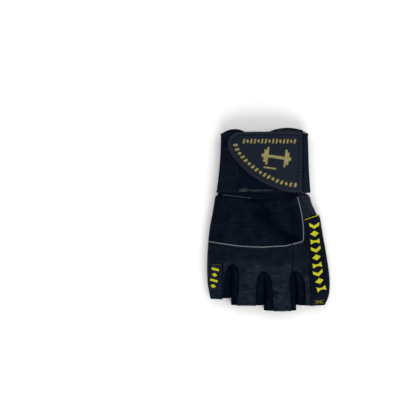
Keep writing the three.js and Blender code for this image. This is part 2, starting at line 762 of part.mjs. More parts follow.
// A sheet over the strap's top, between two heights above the cuff.
function overStrap(from, to, x0, x1, lower, upper) {
  const columns = 22;
  const turnAt = (y, x) => {
    const s = section(y);
    const half = (s.thumb - s.little) / 2 + from;
    const reach = clamp((x - (s.little + s.thumb) / 2) / half, -0.999, 0.999);
    return (Math.asin(signedPower(reach, BACK_FULLNESS / 2)) * 2) / Math.PI;
  };
  const rows = [lower, ...STRAP_ROWS.filter((y) => y > lower && y < upper), upper];
  const polygons = rows.map((y) => {
    const [a, b] = [turnAt(y, x0), turnAt(y, x1)];
    const turns = Array.from({ length: columns + 1 }, (_, i) => mix(a, b, i / columns));
    return [
      ...turns.map((turn) => backPoint(y, turn, -to)),
      ...turns.map((turn) => backPoint(y, turn, -from)).reverse(),
    ];
  });
  return solid(loft(polygons));
}

const onStrap = GAP + STRAP_WALL + GAP;
const loopPatch = overStrap(
  onStrap,
  onStrap + PATCH_WALL,
  TAB_EDGE - PATCH.little,
  TAB_EDGE - PATCH.thumb,
  PATCH.lower,
  STRAP_WIDTH - PATCH.upper,
);

// Outline of the tab: a curve from the foot of its straight edge round to its top, closed by
// the top edge and the straight edge.
const tabCurve = new THREE.SplineCurve(
  TAB_OUTLINE.map(
    ({ along, up }) => new THREE.Vector2(TAB_EDGE - along * TAB_LENGTH, up * STRAP_WIDTH),
  ),
);
function tabPoints(inset) {
  const curve = tabCurve.getPoints(26);
  const points = [...curve, new THREE.Vector2(curve[0].x, STRAP_WIDTH)];
  const after = (i) => points[(i + 1) % points.length];
  const away = (p) =>
    Math.min(
      ...points.map((a, i) => {
        const along = after(i).clone().sub(a);
        const share = clamp(p.clone().sub(a).dot(along) / along.lengthSq(), 0, 1);
        return p.distanceTo(a.clone().addScaledVector(along, share));
      }),
    );
  const moved = points.map((p, i) => {
    const u = p.clone().sub(points[(i + points.length - 1) % points.length]).normalize();
    const v = after(i).clone().sub(p).normalize();
    const slant = Math.sqrt((1 + u.dot(v)) / 2);
    const inward = new THREE.Vector2(u.y + v.y, -(u.x + v.x)).setLength(inset / slant);
    return p.clone().add(inward);
  });
  return moved.filter((p) => away(p) > inset - 0.05).map((p) => [p.x, p.y]);
}

function tab() {
  const foot = onStrap + PATCH_WALL + GAP;
  const end = TAB_EDGE - 1.05 * TAB_LENGTH;
  const sheet = (from, to) => overStrap(from, to, end, tabEdgeToStrap, 0, STRAP_WIDTH);
  const outline = prism(tabPoints(0));
  const rim = outline.subtract(prism(tabPoints(TAB_RIM.width)));
  const top = foot + TAB_WALL;
  return sheet(foot, top)
    .intersect(outline)
    .add(sheet(foot + TAB_WALL / 2, top + TAB_RIM.height).intersect(rim));
}

// Piping: a round cord laid in the seam, half sunk.
function piping(points) {
  const curve = new THREE.CatmullRomCurve3(
    points.map(([x, y]) => new THREE.Vector3(x, y, backHeight(x, y, GAP))),
    false,
    "centripetal",
  );
  const round = new THREE.Shape();
  round.absarc(0, 0, PIPING / 2, 0, 2 * Math.PI);
  return new THREE.ExtrudeGeometry(round, {
    steps: 36,
    curveSegments: 3,
    bevelEnabled: false,
    extrudePath: curve,
  });
}

const glove = new THREE.Group();
glove.name = "weightlifting_glove";

const materials = {
  leather: new THREE.MeshStandardMaterial({ color: 0x14161d, roughness: 0.5, metalness: 0 }),
  ribbed: new THREE.MeshStandardMaterial({ color: 0x05070d, roughness: 0.9, metalness: 0 }),
  gusset: new THREE.MeshStandardMaterial({ color: 0x07090f, roughness: 0.95, metalness: 0 }),
  elastic: new THREE.MeshStandardMaterial({ color: 0x070a12, roughness: 0.9, metalness: 0 }),
  piping: new THREE.MeshStandardMaterial({ color: 0x8a8f98, roughness: 0.6, metalness: 0 }),
  loop: new THREE.MeshStandardMaterial({ color: 0x080b12, roughness: 1, metalness: 0 }),
  moulded: new THREE.MeshStandardMaterial({ color: 0x1b1e27, roughness: 0.45, metalness: 0 }),
};

function place(name, geometry, material) {
  const mesh = new THREE.Mesh(geometry, material.clone());
  mesh.name = name;
  glove.add(mesh);
}

place("palm_leather", geometryOf(palmLeather), materials.leather);
place("thumb_binding", geometryOf(thumbBinding), materials.elastic);
place("knuckle_panel", geometryOf(knucklePanel), materials.leather);
place("index_panel", geometryOf(indexPanel), materials.leather);
place("side_strip", geometryOf(sideStrip), materials.leather);
place("little_strip", geometryOf(littleStrip), materials.leather);
place("thumb_side_panel", geometryOf(thumbSidePanel), materials.leather);
place("rib_panel", geometryOf(ribPanel), materials.ribbed);
place("side_piping", piping(sidePath), materials.piping);
place("knuckle_piping", piping(knucklePath), materials.piping);
GAPS.forEach((gap, k) => {
  const tips = [yAt(TIPS[k]), yAt(TIPS[k + 1])];
  place("fourchette_" + gap.name, geometryOf(gusset(gap, tips)), materials.gusset);
});
place("cuff_band", geometryOf(cuffBand), materials.elastic);
place("wrist_strap", geometryOf(strapBand()), materials.elastic);
place("loop_patch", geometryOf(loopPatch), materials.loop);
place("closure_tab", geometryOf(tab()), materials.moulded);

// The origin is the middle of the footprint, on the table.
const bounds = new THREE.Box3().setFromObject(glove);
const centre = bounds.getCenter(new THREE.Vector3());
glove.position.set(-centre.x, -centre.y, -bounds.min.z);

export default glove;
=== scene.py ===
# A right-hand weightlifting glove with half fingers and a wrist wrap, lying palm down.
# The tables hold millimetres, or shares of the named sizes: y is 0 at the strap's lower
# edge, x is 0 on the hand's axis and z is 0 on the table. in_frame() turns such points
# into the frame's metres. A flat place is a pair: the distance along the skin from the
# hand's axis, and y.
import math

import bpy
import numpy as np
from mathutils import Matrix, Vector, noise
from mathutils.geometry import delaunay_2d_cdt


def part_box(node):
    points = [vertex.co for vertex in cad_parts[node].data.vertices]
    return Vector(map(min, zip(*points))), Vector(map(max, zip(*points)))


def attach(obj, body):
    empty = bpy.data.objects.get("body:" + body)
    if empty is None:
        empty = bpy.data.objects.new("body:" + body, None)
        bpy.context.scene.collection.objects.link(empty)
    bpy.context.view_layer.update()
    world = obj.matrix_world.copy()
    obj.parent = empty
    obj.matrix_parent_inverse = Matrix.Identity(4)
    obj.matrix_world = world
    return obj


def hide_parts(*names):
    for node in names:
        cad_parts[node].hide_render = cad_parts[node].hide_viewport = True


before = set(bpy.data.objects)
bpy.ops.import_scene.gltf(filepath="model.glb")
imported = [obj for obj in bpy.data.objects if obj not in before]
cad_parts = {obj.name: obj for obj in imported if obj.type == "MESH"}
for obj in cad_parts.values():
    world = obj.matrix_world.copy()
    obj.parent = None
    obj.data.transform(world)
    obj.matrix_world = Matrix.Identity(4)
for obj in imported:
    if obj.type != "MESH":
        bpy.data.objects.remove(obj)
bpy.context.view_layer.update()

# Sizes of the hand and the wrist
MM = 0.001
HAND_LENGTH = 119.0
PALM_WIDTH = 124.0
HAND_HEIGHT = 22.0
PALM_ROUND = 9.0
STRAP_WIDTH = 60.0
CUFF_OVERHANG = 1.0
CUFF_WAVE = 4.0
WRIST_LOWER = (-49.9, 37.9)
WRIST_UPPER = (-45.5, 35.5)
WRIST_HEIGHT = 14.5
WRIST_EASE = 4.0
WRIST_RISE = 12.0

# Walls and clearances
LEATHER = 1.6
PALM_LEATHER = 1.8
RIB_WALL = 0.8
GUSSET = 0.8
CUFF_WALL = 1.6
STRAP_WALL = 2.0
PATCH_WALL = 0.9
TAB_WALL = 1.5
TAB_RIM = 3.2
TAB_RIM_HEIGHT = 0.6
PIPING = 1.3
BINDING_WIDTH = 2.2
BINDING_HEIGHT = 2.4
GAP = 0.3
SLIT = 2.0


def columns(names, rows):
    """A table as one array for each named column."""
    return dict(zip(names.split(), np.array(rows, float).T))


# Outlines and height of the hand, along its run from the strap to the fingertips
HAND = columns("run little thumb crown", [
    (0.0, -0.42, 0.33, 0.82), (0.05, -0.434, 0.343, 0.85), (0.1, -0.441, 0.36, 0.9),
    (0.18, -0.454, 0.396, 0.92), (0.27, -0.471, 0.431, 0.9), (0.37, -0.484, 0.449, 0.87),
    (0.46, -0.491, 0.465, 0.89), (0.56, -0.496, 0.481, 0.98), (0.67, -0.497, 0.497, 0.97),
    (0.77, -0.492, 0.503, 0.89), (0.87, -0.476, 0.496, 0.8), (0.95, -0.46, 0.465, 0.74),
    (1.05, -0.44, 0.44, 0.7),
])
SEAM_HEIGHT = 0.27
BACK_FULLNESS = 2.4
FLAT = 0.62

# Gaps between the fingers, little to index
GAPS = columns("crotch foot arch centre lean little little_flare thumb thumb_flare", [
    (0.598, 0.05, 0.13, -0.291, -0.028, 0.056, 0.034, 0.056, -0.04),
    (0.661, 0.05, 0.13, -0.035, 0.0, 0.063, 0.0, 0.049, 0.07),
    (0.66, 0.05, 0.13, 0.205, 0.07, 0.046, -0.03, 0.079, -0.02),
])
SIGNS = {"little": -1, "thumb": 1}
VALLEY_DEPTH = 0.2
VALLEY_WIDTH = 0.075
VALLEY_LEAD = 0.08
VALLEY_EASE = 0.14
TIPS = (0.895, 0.954, 1.0, 0.955)

# Waves of the cuff at the wrist end
CUFF_WAVES = ((-0.36, -0.2, 0.7), (0.01, 0.31, 1.0))

# Seams on the back
CUFF_LINE = columns("across run", [
    (-0.6, 0.023), (-0.37, 0.024), (-0.16, 0.048), (-0.03, 0.06), (0.12, 0.05), (0.228, 0.029),
])
KNUCKLE_LINE = columns("across run", [
    (-0.6, 0.4), (-0.49, 0.411), (-0.33, 0.434), (-0.23, 0.447), (-0.07, 0.4545),
    (0.05, 0.449), (0.13, 0.444), (0.189, 0.43), (0.281, 0.409),
])
SIDE_LINE = columns("run across", [
    (-0.02, 0.226), (0.029, 0.233), (0.087, 0.247), (0.154, 0.261), (0.23, 0.273),
    (0.314, 0.28), (0.409, 0.281),
])
STRIP_LINE = columns("run across", [
    (0.2, 0.285), (0.3, 0.2875), (0.421, 0.291), (0.48, 0.302), (0.565, 0.313),
    (0.65, 0.323), (0.733, 0.332), (0.82, 0.339), (1.05, 0.343),
])
INDEX_LINE = columns("run across", [
    (0.4, 0.1855), (0.45, 0.186), (0.52, 0.193), (0.6, 0.191), (0.68, 0.189),
])
STRIP_TOP_INNER = 0.221
STRIP_TOP_OUTER = 0.18
STRIP_FLARE_OUT = 2.2
STRIP_FLARE_LENGTH = 14.0
LITTLE_STRIP_TOP = 0.595
LITTLE_STRIP_EDGE = -0.374
THUMB_HOLE = (0.252, 0.255)
THUMB_HOLE_HALF = (11.5, 18.0)

# The closure on the strap
TAB_EDGE = 33.2
TAB_LENGTH = 74.0
PATCH_THUMB = 7.0
PATCH_LITTLE = 64.0
PATCH_LOWER = 2.0
PATCH_UPPER = 10.0
TAB_OUTLINE = columns("along up", [
    (0.0, 0.006), (0.124, 0.004), (0.266, 0.033), (0.428, 0.108), (0.604, 0.217), (0.766, 0.367),
    (0.908, 0.55), (0.978, 0.692), (1.0, 0.817), (0.973, 0.925), (0.888, 1.0),
])

# Soft creases in the leather: x and y of both ends, depth and width
CREASES = (
    (-28, -90, -12, -94, 0.35, 1.1), (-27, -77, -15, -81, 0.3, 1.3),
    (-26, -84, -13, -88, 0.25, 0.9), (-25, -102, -12, -100, 0.2, 0.9),
    (3, -91, 22, -97, 0.4, 1.2), (5, -87, 22, -91, 0.3, 1.0),
    (2, -99, 17, -103, 0.3, 1.0), (8, -77, 22, -83, 0.3, 1.3),
    (-7, -75, 6, -79, 0.25, 1.4), (-58, -98, -47, -100, 0.3, 1.0),
    (-45, -84, -41, -98, 0.3, 1.2), (-8, -59, 11, -69, 0.35, 1.8),
    (-24, -59, -16, -65, 0.25, 1.5), (-44, -57, -33, -54, 0.3, 1.5),
    (2, -56, 20, -61, 0.2, 1.5), (27, -69, 36, -77, 0.35, 1.3),
    (27, -62, 35, -58, 0.25, 1.1), (38, -100, 41, -84, 0.2, 0.9),
)

# The ridge where the leather bends over the knuckles: worn and wrinkled beyond it, and painted
# paler there as sheen on the slopes towards the fingertips
RIDGE = columns("x y", [
    (-60, -72), (-43.6, -69.3), (-23.6, -68.3), (-8.6, -71.3), (6.4, -74.3), (21.4, -71.5),
    (40, -84), (60, -90),
])


def mix(a, b, share):
    return a + (b - a) * share


def smooth(share):
    s = np.clip(share, 0, 1)
    return s * s * (3 - 2 * s)


def hump(away_from, width):
    """1 on a line, and less on both sides of it."""
    return np.exp(-(away_from / width) ** 2)


def signed_power(value, power):
    return np.sign(value) * np.abs(value) ** power


def unit(ways):
    return ways / np.maximum(np.linalg.norm(ways, axis=-1, keepdims=True), 1e-9)


def rotation(angle):
    c, s = math.cos(angle), math.sin(angle)
    return np.array([[c, -s], [s, c]])


def lengths_along(line):
    steps = np.linalg.norm(np.diff(line, axis=0), axis=1)
    return np.concatenate([[0], np.cumsum(steps)])


def read(table, key, column, place):
    """One column of a table at a place along its key column, on a smooth curve."""
    keys, values = table[key], table[column]
    steps = np.arange(len(keys))
    before, after = np.maximum(steps - 1, 0), np.minimum(steps + 1, len(keys) - 1)
    slopes = (values[after] - values[before]) / (keys[after] - keys[before])
    at = np.clip(place, keys[0], keys[-1])
    i = np.clip(np.searchsorted(keys, at) - 1, 0, len(keys) - 2)
    step = keys[i + 1] - keys[i]
    t = (at - keys[i]) / step
    bend = t * (1 - t) ** 2 * slopes[i] - t * t * (1 - t) * slopes[i + 1]
    return mix(values[i], values[i + 1], t * t * (3 - 2 * t)) + step * bend


def y_at(run):
    return -run * HAND_LENGTH


def run_at(y):
    return -y / HAND_LENGTH


def x_at(across):
    return across * PALM_WIDTH


def across_hand(table):
    """A seam that crosses the hand, as y for an x."""
    return lambda x: y_at(read(table, "across", "run", x / PALM_WIDTH))


def along_hand(table):
    """A seam that runs along the hand, as x for a y."""
    return lambda y: x_at(read(table, "run", "across", run_at(y)))


cuff_line, knuckle_line = across_hand(CUFF_LINE), across_hand(KNUCKLE_LINE)
side_line, strip_line, index_line = map(along_hand, (SIDE_LINE, STRIP_LINE, INDEX_LINE))

CUFF_CORNER = y_at(CUFF_LINE["run"][-1])
SIDE_CORNER = y_at(KNUCKLE_LINE["run"][-1])
CORNER_X = x_at(KNUCKLE_LINE["across"][-1])
INDEX_CORNER = y_at(INDEX_LINE["run"][1])
STRIP_CORNER = y_at(STRIP_TOP_INNER)
FLARE_FROM = y_at(STRIP_TOP_OUTER) - STRIP_FLARE_LENGTH
LITTLE_TOP = y_at(LITTLE_STRIP_TOP)
LITTLE_EDGE = x_at(LITTLE_STRIP_EDGE)
TIP_LINES = [y_at(tip) for tip in TIPS]
WRIST_BASE = STRAP_WALL + GAP

# Where the frame holds the hand's axis and the strap's lower edge
AXIS_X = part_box("closure_tab")[1][0] / MM - TAB_EDGE
STRAP_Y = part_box("wrist_strap")[0][1] / MM


def in_frame(points):
    return (np.asarray(points, float) + [AXIS_X, STRAP_Y, 0]) * MM


def section(y):
    """The glove's section at y: both outlines, the back, the side seams, the underside."""
    in_strap = 1 - (1 - np.clip(y / STRAP_WIDTH, 0, 1)) ** 2
    outlines = [mix(low, up, in_strap) for low, up in zip(WRIST_LOWER, WRIST_UPPER)]
    wrist = (*outlines, WRIST_BASE + WRIST_HEIGHT, WRIST_BASE + WRIST_HEIGHT / 2, WRIST_BASE)
    names = ("little", "thumb", "crown")
    little, thumb, crown = (read(HAND, "run", name, run_at(y)) for name in names)
    hand = (x_at(little), x_at(thumb), HAND_HEIGHT * crown, HAND_HEIGHT * SEAM_HEIGHT, 0.0)
    near, later = smooth(-y / WRIST_EASE), smooth(-y / WRIST_RISE)
    shares = (near, near, later, later, later)
    return [mix(w, h, share) for w, h, share in zip(wrist, hand, shares)]


def past_crotch(k, y):
    return run_at(y) - GAPS["crotch"][k]


def gap_centre(k, y):
    return x_at(GAPS["centre"][k]) + x_at(GAPS["lean"][k]) * past_crotch(k, y)


def gap_half(k, side, d):
    return x_at(GAPS[side][k]) + x_at(GAPS[side + "_flare"][k]) * (d / HAND_LENGTH)


def valley(x, y):
    """How far the back sinks between the fingers."""
    dip = 0
    for k in range(3):
        begun = smooth((past_crotch(k, y) + VALLEY_LEAD) / VALLEY_EASE)
        dip = dip + begun * hump(x - gap_centre(k, y), x_at(VALLEY_WIDTH))
    return HAND_HEIGHT * VALLEY_DEPTH * dip


def back_point(y, turn, depth=0.0):
    """A point on the back, turn from -1 at the little side's seam to 1 at the thumb side's."""
    little, thumb, crown, seam, base = section(y)
    power = 2 / BACK_FULLNESS
    angle = turn * math.pi / 2
    half = (thumb - little) / 2 - depth
    lift = np.clip(np.cos(angle), 0, 1) ** power
    x = (little + thumb) / 2 + half * signed_power(np.sin(angle), power)
    z = seam + (crown - seam - depth) * lift - valley(x, y) * lift
    return np.stack(np.broadcast_arrays(x, y, z), -1)


def back_height(x, y, depth=0.0):
    little, thumb, crown, seam, base = section(y)
    reach = np.abs(x - (little + thumb) / 2) / ((thumb - little) / 2 - depth)
    lift = (1 - np.clip(reach, 0, 0.9999) ** BACK_FULLNESS) ** (1 / BACK_FULLNESS)
    return seam + (crown - seam - depth) * lift - valley(x, y) * lift


def palm_point(y, turn, depth=0.0, side_depth=0.0):
    """A point on the underside, turn from -1 at the little side's seam to 1."""
    little, thumb, crown, seam, base = section(y)
    start = np.where(turn < 0, little, thumb)
    inward = np.where(turn < 0, 1.0, -1.0)
    share = np.clip((1 - np.abs(turn)) / (1 - FLAT), 0, 1)
    angle = share * math.pi / 2
    side_x = start + inward * PALM_ROUND - inward * (PALM_ROUND - side_depth) * np.cos(angle)
    side_z = seam - (seam - base - depth) * np.sin(angle)
    flat_x = mix(little + PALM_ROUND, thumb - PALM_ROUND, (turn / FLAT + 1) / 2)
    x = np.where(share < 1, side_x, flat_x)
    z = np.where(share < 1, side_z, base + depth)
    return np.stack(np.broadcast_arrays(x, y, z), -1)


def wrist_point(y, around, out, side=None):
    """A point round the wrist: -1 thumb side, 0 over the back, 1 little side, 2 palm, 3."""
    side = out if side is None else side
    place = np.where(around > 3, around - 4, around)
    over = back_point(y, np.clip(-place, -1, 1), -out)
    under = palm_point(y, np.clip(place - 2, -1, 1), -np.minimum(out, side), -side)
    return np.where((place <= 1)[..., None], over, under)


# Distance along the skin for a turn, on a middling section
REFERENCE_HALF = 60.0
REFERENCE_RISE = 13.0
TURNS = np.linspace(-1, 1, 2001)


def arc_table():
    power = 2 / BACK_FULLNESS
    x = REFERENCE_HALF * signed_power(np.sin(TURNS * math.pi / 2), power)
    z = REFERENCE_RISE * np.clip(np.cos(TURNS * math.pi / 2), 0, 1) ** power
    along = np.concatenate([[0], np.cumsum(np.hypot(np.diff(x), np.diff(z)))])
    return along - along[-1] / 2


ALONG = arc_table()
SIDE = ALONG[-1]


def turn_at(u):
    return np.interp(u, ALONG, TURNS)


def back_x(u, y):
    return back_point(y, turn_at(u))[:, 0]


def to_flat(x, y, depth=0.0):
    """Flat places on the back, or on a layer over it, for places in plan."""
    x, y = np.broadcast_arrays(np.asarray(x, float), np.asarray(y, float))
    little, thumb = section(y)[:2]
    reach = np.clip((x - (little + thumb) / 2) / ((thumb - little) / 2 - depth), -1, 1)
    turn = np.arcsin(signed_power(reach, BACK_FULLNESS / 2)) * 2 / math.pi
    return np.stack([np.interp(turn, TURNS, ALONG), y], -1)


def flat_line(places, depth=0.0):
    return to_flat(places[:, 0], places[:, 1], depth)


def u_at(x, y):
    return to_flat(x, y)[0]


def level(start, end, y, count, depth=0.0):
    """Flat places on a level line in plan."""
    return to_flat(np.linspace(start, end, count), y, depth)


def upright(x, start, end, count, depth=0.0):
    return to_flat(x, np.linspace(start, end, count), depth)


def lying(depth=0.0):
    """The back's skin at a depth, as a function of flat places."""
    return lambda flat: back_point(flat[..., 1], turn_at(flat[..., 0]), depth)


skin = lying()


def flared(flat):
    """The back's skin under the side strip, whose upper outer corner stands off the hand."""
    turn, y = turn_at(flat[..., 0]), flat[..., 1]
    points = back_point(y, turn)
    share = (y - FLARE_FROM) / STRIP_FLARE_LENGTH
    points[..., 0] += STRIP_FLARE_OUT * smooth(share) * smooth(2 * turn - 1)
    return points


# Flat places on the palm: positive at the little side, so that its outer face looks down
PALM_FLAT = 53.0
PALM_CURL = 11.9
PALM_SIDE = PALM_FLAT + PALM_CURL


def palm(flat):
    v = -flat[..., 0]
    curl = (np.abs(v) - PALM_FLAT) / PALM_CURL * (1 - FLAT) + FLAT
    turn = np.where(np.abs(v) <= PALM_FLAT, v / PALM_FLAT * FLAT, np.sign(v) * curl)
    return palm_point(flat[..., 1], np.clip(turn, -1, 1))


def palm_places(places):
    x, y = places[:, 0], places[:, 1]
    little, thumb = section(y)[:2]
    share = (x - little - PALM_ROUND) / (thumb - little - 2 * PALM_ROUND)
    return np.stack([-(share * 2 - 1) * PALM_FLAT, y], -1)


def normals(surface, flat, reach=0.05):
    across = surface(flat + [reach, 0]) - surface(flat - [reach, 0])
    along = surface(flat + [0, reach]) - surface(flat - [0, reach])
    return unit(np.cross(across, along))


# Flat geometry
def crosswise(line, offset, start, end, count, guess):
    """Flat places beside a line that crosses the back, between two distances."""
    u = np.linspace(start, end, count)
    y = np.full(count, guess)
    for _ in range(4):
        y = line(back_x(u, y)) + offset
    return np.stack([u, y], -1)


def by_knuckles(offset, start, end, count):
    return crosswise(knuckle_line, offset, start, end, count, -50.0)


def by_cuff(offset, start, end, count):
    return crosswise(cuff_line, offset, start, end, count, -5.0)


def lengthwise(line, offset, start, end, count):
    y = np.linspace(start, end, count)
    return to_flat(line(y) + offset, y)


def dense(corners, step):
    """The closed line through corners, with places no further apart than step."""
    corners = np.asarray(corners, float)
    corners = corners[np.linalg.norm(corners - np.roll(corners, 1, 0), axis=1) > 0.04]
    places = []
    for a, b in zip(corners, np.roll(corners, -1, 0)):
        count = max(1, math.ceil(np.linalg.norm(b - a) / step))
        places.extend(a + (b - a) * i / count for i in range(count))
    places = np.array(places)
    x, y = places.T
    area = np.sum(x * np.roll(y, -1) - np.roll(x, -1) * y)
    return places if area > 0 else places[::-1]


def spaced(line, step):
    """Places at even steps along an open line."""
    lengths = lengths_along(line)
    count = max(2, int(round(lengths[-1] / step)) + 1)
    at = np.linspace(0, lengths[-1], count)
    return np.stack([np.interp(at, lengths, line[:, i]) for i in (0, 1)], -1)


def beside(line, offset):
    """An open line moved sideways, to its right."""
    way = unit(np.gradient(line, axis=0))
    return line + offset * np.stack([way[:, 1], -way[:, 0]], -1)


def distance(places, line, closed=False):
    """Distance of flat places from a line of flat places."""
    starts = line if closed else line[:-1]
    ends = np.roll(line, -1, 0) if closed else line[1:]
    way = ends - starts
    length = np.maximum((way ** 2).sum(1), 1e-12)
    nearest = []
    for some in np.array_split(places, max(1, len(places) // 1500)):
        rel = some[:, None] - starts
        share = np.clip((rel * way).sum(-1) / length, 0, 1)
        nearest.append(np.sqrt(((rel - share[..., None] * way) ** 2).sum(-1)).min(1))
    return np.concatenate(nearest)


def inside(places, outline):
    x, y = places[:, :1], places[:, 1:]
    a, b = outline, np.roll(outline, -1, 0)
    crosses = (a[:, 1] > y) != (b[:, 1] > y)
    rise = np.where(a[:, 1] == b[:, 1], 1, b[:, 1] - a[:, 1])
    at = a[:, 0] + (y - a[:, 1]) * (b[:, 0] - a[:, 0]) / rise
    return (crosses & (x < at)).sum(1) % 2 == 1


def ripple(places, size, seed=0.0):
    """Smooth unevenness, with bumps of a size."""
    return np.array([noise.noise(Vector((p[0] / size, p[1] / size, seed))) for p in places])


def edge_roll(edge, radius, drop):
    """How far a turned edge sinks towards its seam."""
    share = 1 - np.clip(edge / radius, 0, 1)
    return -drop * (1 - np.sqrt(1 - share ** 2))


# Bodies: each is points, faces, flat coordinates for the finish, and a mask of wear and of painted
# light and shade
RINGS = (0.3, 0.7, 1.2, 1.8, 2.5)
RING_SLACK = 0.06
GRID_CLEAR = 0.4
SNAP = 1e-5


def inward_of(outline):
    tangent = np.roll(outline, -1, 0) - np.roll(outline, 1, 0)
    return unit(np.stack([-tangent[:, 1], tangent[:, 0]], -1))


def grid_over(outline, spacing):
    low, high = outline.min(0), outline.max(0)
    grid = [np.arange(low[i] + spacing[i] / 2, high[i], spacing[i]) for i in (0, 1)]
    return np.stack(np.meshgrid(*grid), -1).reshape(-1, 2)


def triangulated(places, sides, faces, mode):
    made = delaunay_2d_cdt([Vector(p) for p in places], sides, faces, mode, SNAP)
    return np.array([tuple(v) for v in made[0]]), np.array([f for f in made[2] if len(f) == 3])


def layered(flat, triangles, outer, inner, wear_and_painted_light):
    """A body of two layers over the same flat places, closed along its rim."""
    n = len(flat)
    sides = np.concatenate([triangles[:, [0, 1]], triangles[:, [1, 2]], triangles[:, [2, 0]]])
    rim = sides[~np.isin(sides[:, 0] * n + sides[:, 1], sides[:, 1] * n + sides[:, 0])]
    rim_faces = np.stack([rim[:, 1], rim[:, 0], rim[:, 0] + n, rim[:, 1] + n], -1)
    faces = triangles.tolist() + (triangles[:, ::-1] + n).tolist() + rim_faces.tolist()
    places = with_zero(np.concatenate([flat, flat]))
    return np.concatenate([outer, inner]), faces, places, np.concatenate([wear_and_painted_light, 0 * wear_and_painted_light])


def with_zero(flat):
    """Flat places as a list of three numbers each."""
    return np.concatenate([flat, np.zeros((*flat.shape[:-1], 1))], -1).reshape(-1, 3)


def sheet(outline, surface, relief, wall, spacing=(1.2, 1.2), step=0.7, rings=RINGS):
    """A closed piece over a flat outline, its outer face raised from a surface by relief."""
    outline = dense(outline, step)
    inward = inward_of(outline)
    places = [outline]
    for ring in rings:
        moved = outline + inward * ring
        moved = moved[inside(moved, outline)]
        places.append(moved[distance(moved, outline, True) > ring - RING_SLACK])
    grid = grid_over(outline, spacing)
    grid = grid[inside(grid, outline)]
    places.append(grid[distance(grid, outline, True) > rings[-1] + GRID_CLEAR * spacing[0]])
    squeeze = np.array([1.0, spacing[0] / spacing[1]])
    face = list(range(len(outline)))
    flat, triangles = triangulated(np.concatenate(places) * squeeze, [], [face], 1)
    flat = flat / squeeze
    base, out = surface(flat), normals(surface, flat)
    height, wear_and_painted_light = relief(flat, distance(flat, outline, True))
    inner = base + out * (np.minimum(height, 0) - wall)[:, None]
    return layered(flat, triangles, base + out * height[:, None], inner, wear_and_painted_light)


def grid_faces(rows, count, closed_rows, closed_columns):
    """Quads over rows of points, in one array of points."""
    faces = []
    for j in range(rows if closed_rows else rows - 1):
        for i in range(count if closed_columns else count - 1):
            a, b = j * count + i, j * count + (i + 1) % count
            c, d = ((j + 1) % rows) * count + (i + 1) % count, ((j + 1) % rows) * count + i
            faces.append((a, b, c, d))
    return faces


def end_faces(rows, width):
    """Quads that close both ends of a band whose rows run over it and back under it."""
    faces = []
    for row, flip in ((0, 1), (rows - 1, -1)):
        for i in range(width // 2 - 1):
            start, end = row * width + i, row * width + width - 1 - i
            faces.append((start, start + 1, end - 1, end)[::-flip])
    return faces


def rods(centres, out, radii, sides=6, squash=1.0):
    """Small rods through rows of points, in one body. out is the side that faces away."""
    count, rows = centres.shape[:2]
    along = unit(np.gradient(centres, axis=1))
    across = unit(np.cross(along, out))
    up = np.cross(across, along)
    angles = np.arange(sides) / sides * 2 * math.pi
    radii = np.broadcast_to(radii, (count, rows))[..., None, None]
    ring = across[:, :, None] * np.cos(angles)[:, None]
    ring = ring + up[:, :, None] * (np.sin(angles) * squash)[:, None]
    points = centres[:, :, None] + radii * ring
    one = [(a, d, c, b) for a, b, c, d in grid_faces(rows, sides, False, True)]
    one.append(tuple(range(sides)))
    one.append(tuple(reversed(range((rows - 1) * sides, rows * sides))))
    faces = [tuple(v + k * rows * sides for v in f) for k in range(count) for f in one]
    run = np.array([lengths_along(row) for row in centres])
    flat = np.stack(np.broadcast_arrays(run[:, :, None], angles, 0.0), -1)
    return points.reshape(-1, 3), faces, flat.reshape(-1, 3), np.zeros(points.size // 3)


def joined(bodies):
    points, faces, flat, wear_and_painted_light = zip(*bodies)
    starts = np.cumsum([0] + [len(some) for some in points[:-1]]).tolist()
    faces = [tuple(v + start for v in f) for some, start in zip(faces, starts) for f in some]
    return np.concatenate(points), faces, np.concatenate(flat), np.concatenate(wear_and_painted_light)


# A stitch: a short arched rod that dips into what it holds
STITCH_ALONG = np.array([-0.5, -0.38, -0.15, 0.15, 0.38, 0.5])
STITCH_ARCH = np.array([-0.75, -0.1, 0.22, 0.22, -0.1, -0.75])
STITCH_TAPER = np.array([0.55, 0.9, 1, 1, 0.9, 0.55])
STITCH_RISE = 0.1
STITCH_SQUASH = 0.5

# How far each row of stitches stands off its surface, and its pitch, length and thickness
STITCHES = {
    "knuckle": (-0.15, 2.6, 1.8, 0.8), "hem": (-0.16, 2.2, 1.6, 0.4),
    "strip": (-0.1, 2.9, 1.8, 1.0), "side": (-0.12, 2.5, 1.6, 0.65),
    "cuff": (0.1, 2.4, 1.7, 0.4), "tab_top": (-0.1, 2.8, 1.6, 1.25),
    "tab_edge": (-0.1, 3.6, 1.9, 1.35), "patch": (-0.05, 2.4, 1.8, 0.45),
    "strip_top": (0.1, 1.9, 1.75, 0.8), "tack_cross": (0.1, 1.5, 1.4, 0.5),
    "tack_bar": (0.05, 1.6, 1.45, 0.42), "little": (0.0, 1.7, 1.5, 0.45),
    "by_piping": (-0.2, 2.4, 1.5, 0.22),
}


def stitches(line, surface, lift, pitch, length, thick):
    """Stitches along a line of flat places, lift above a surface and evenly spaced on it."""
    fine = spaced(line, 0.3)
    run = lengths_along(surface(fine))
    count = max(1, int(run[-1] / pitch))
    middle = (np.arange(count) + 0.5) * run[-1] / count
    at = middle[:, None] + STITCH_ALONG * length
    places = np.stack([np.interp(at, run, fine[:, i]) for i in (0, 1)], -1)
    out = normals(surface, places)
    centres = surface(places) + out * (thick * STITCH_ARCH + STITCH_RISE + lift)[:, None]
    return rods(centres, out, thick / 2 * STITCH_TAPER, squash=STITCH_SQUASH)


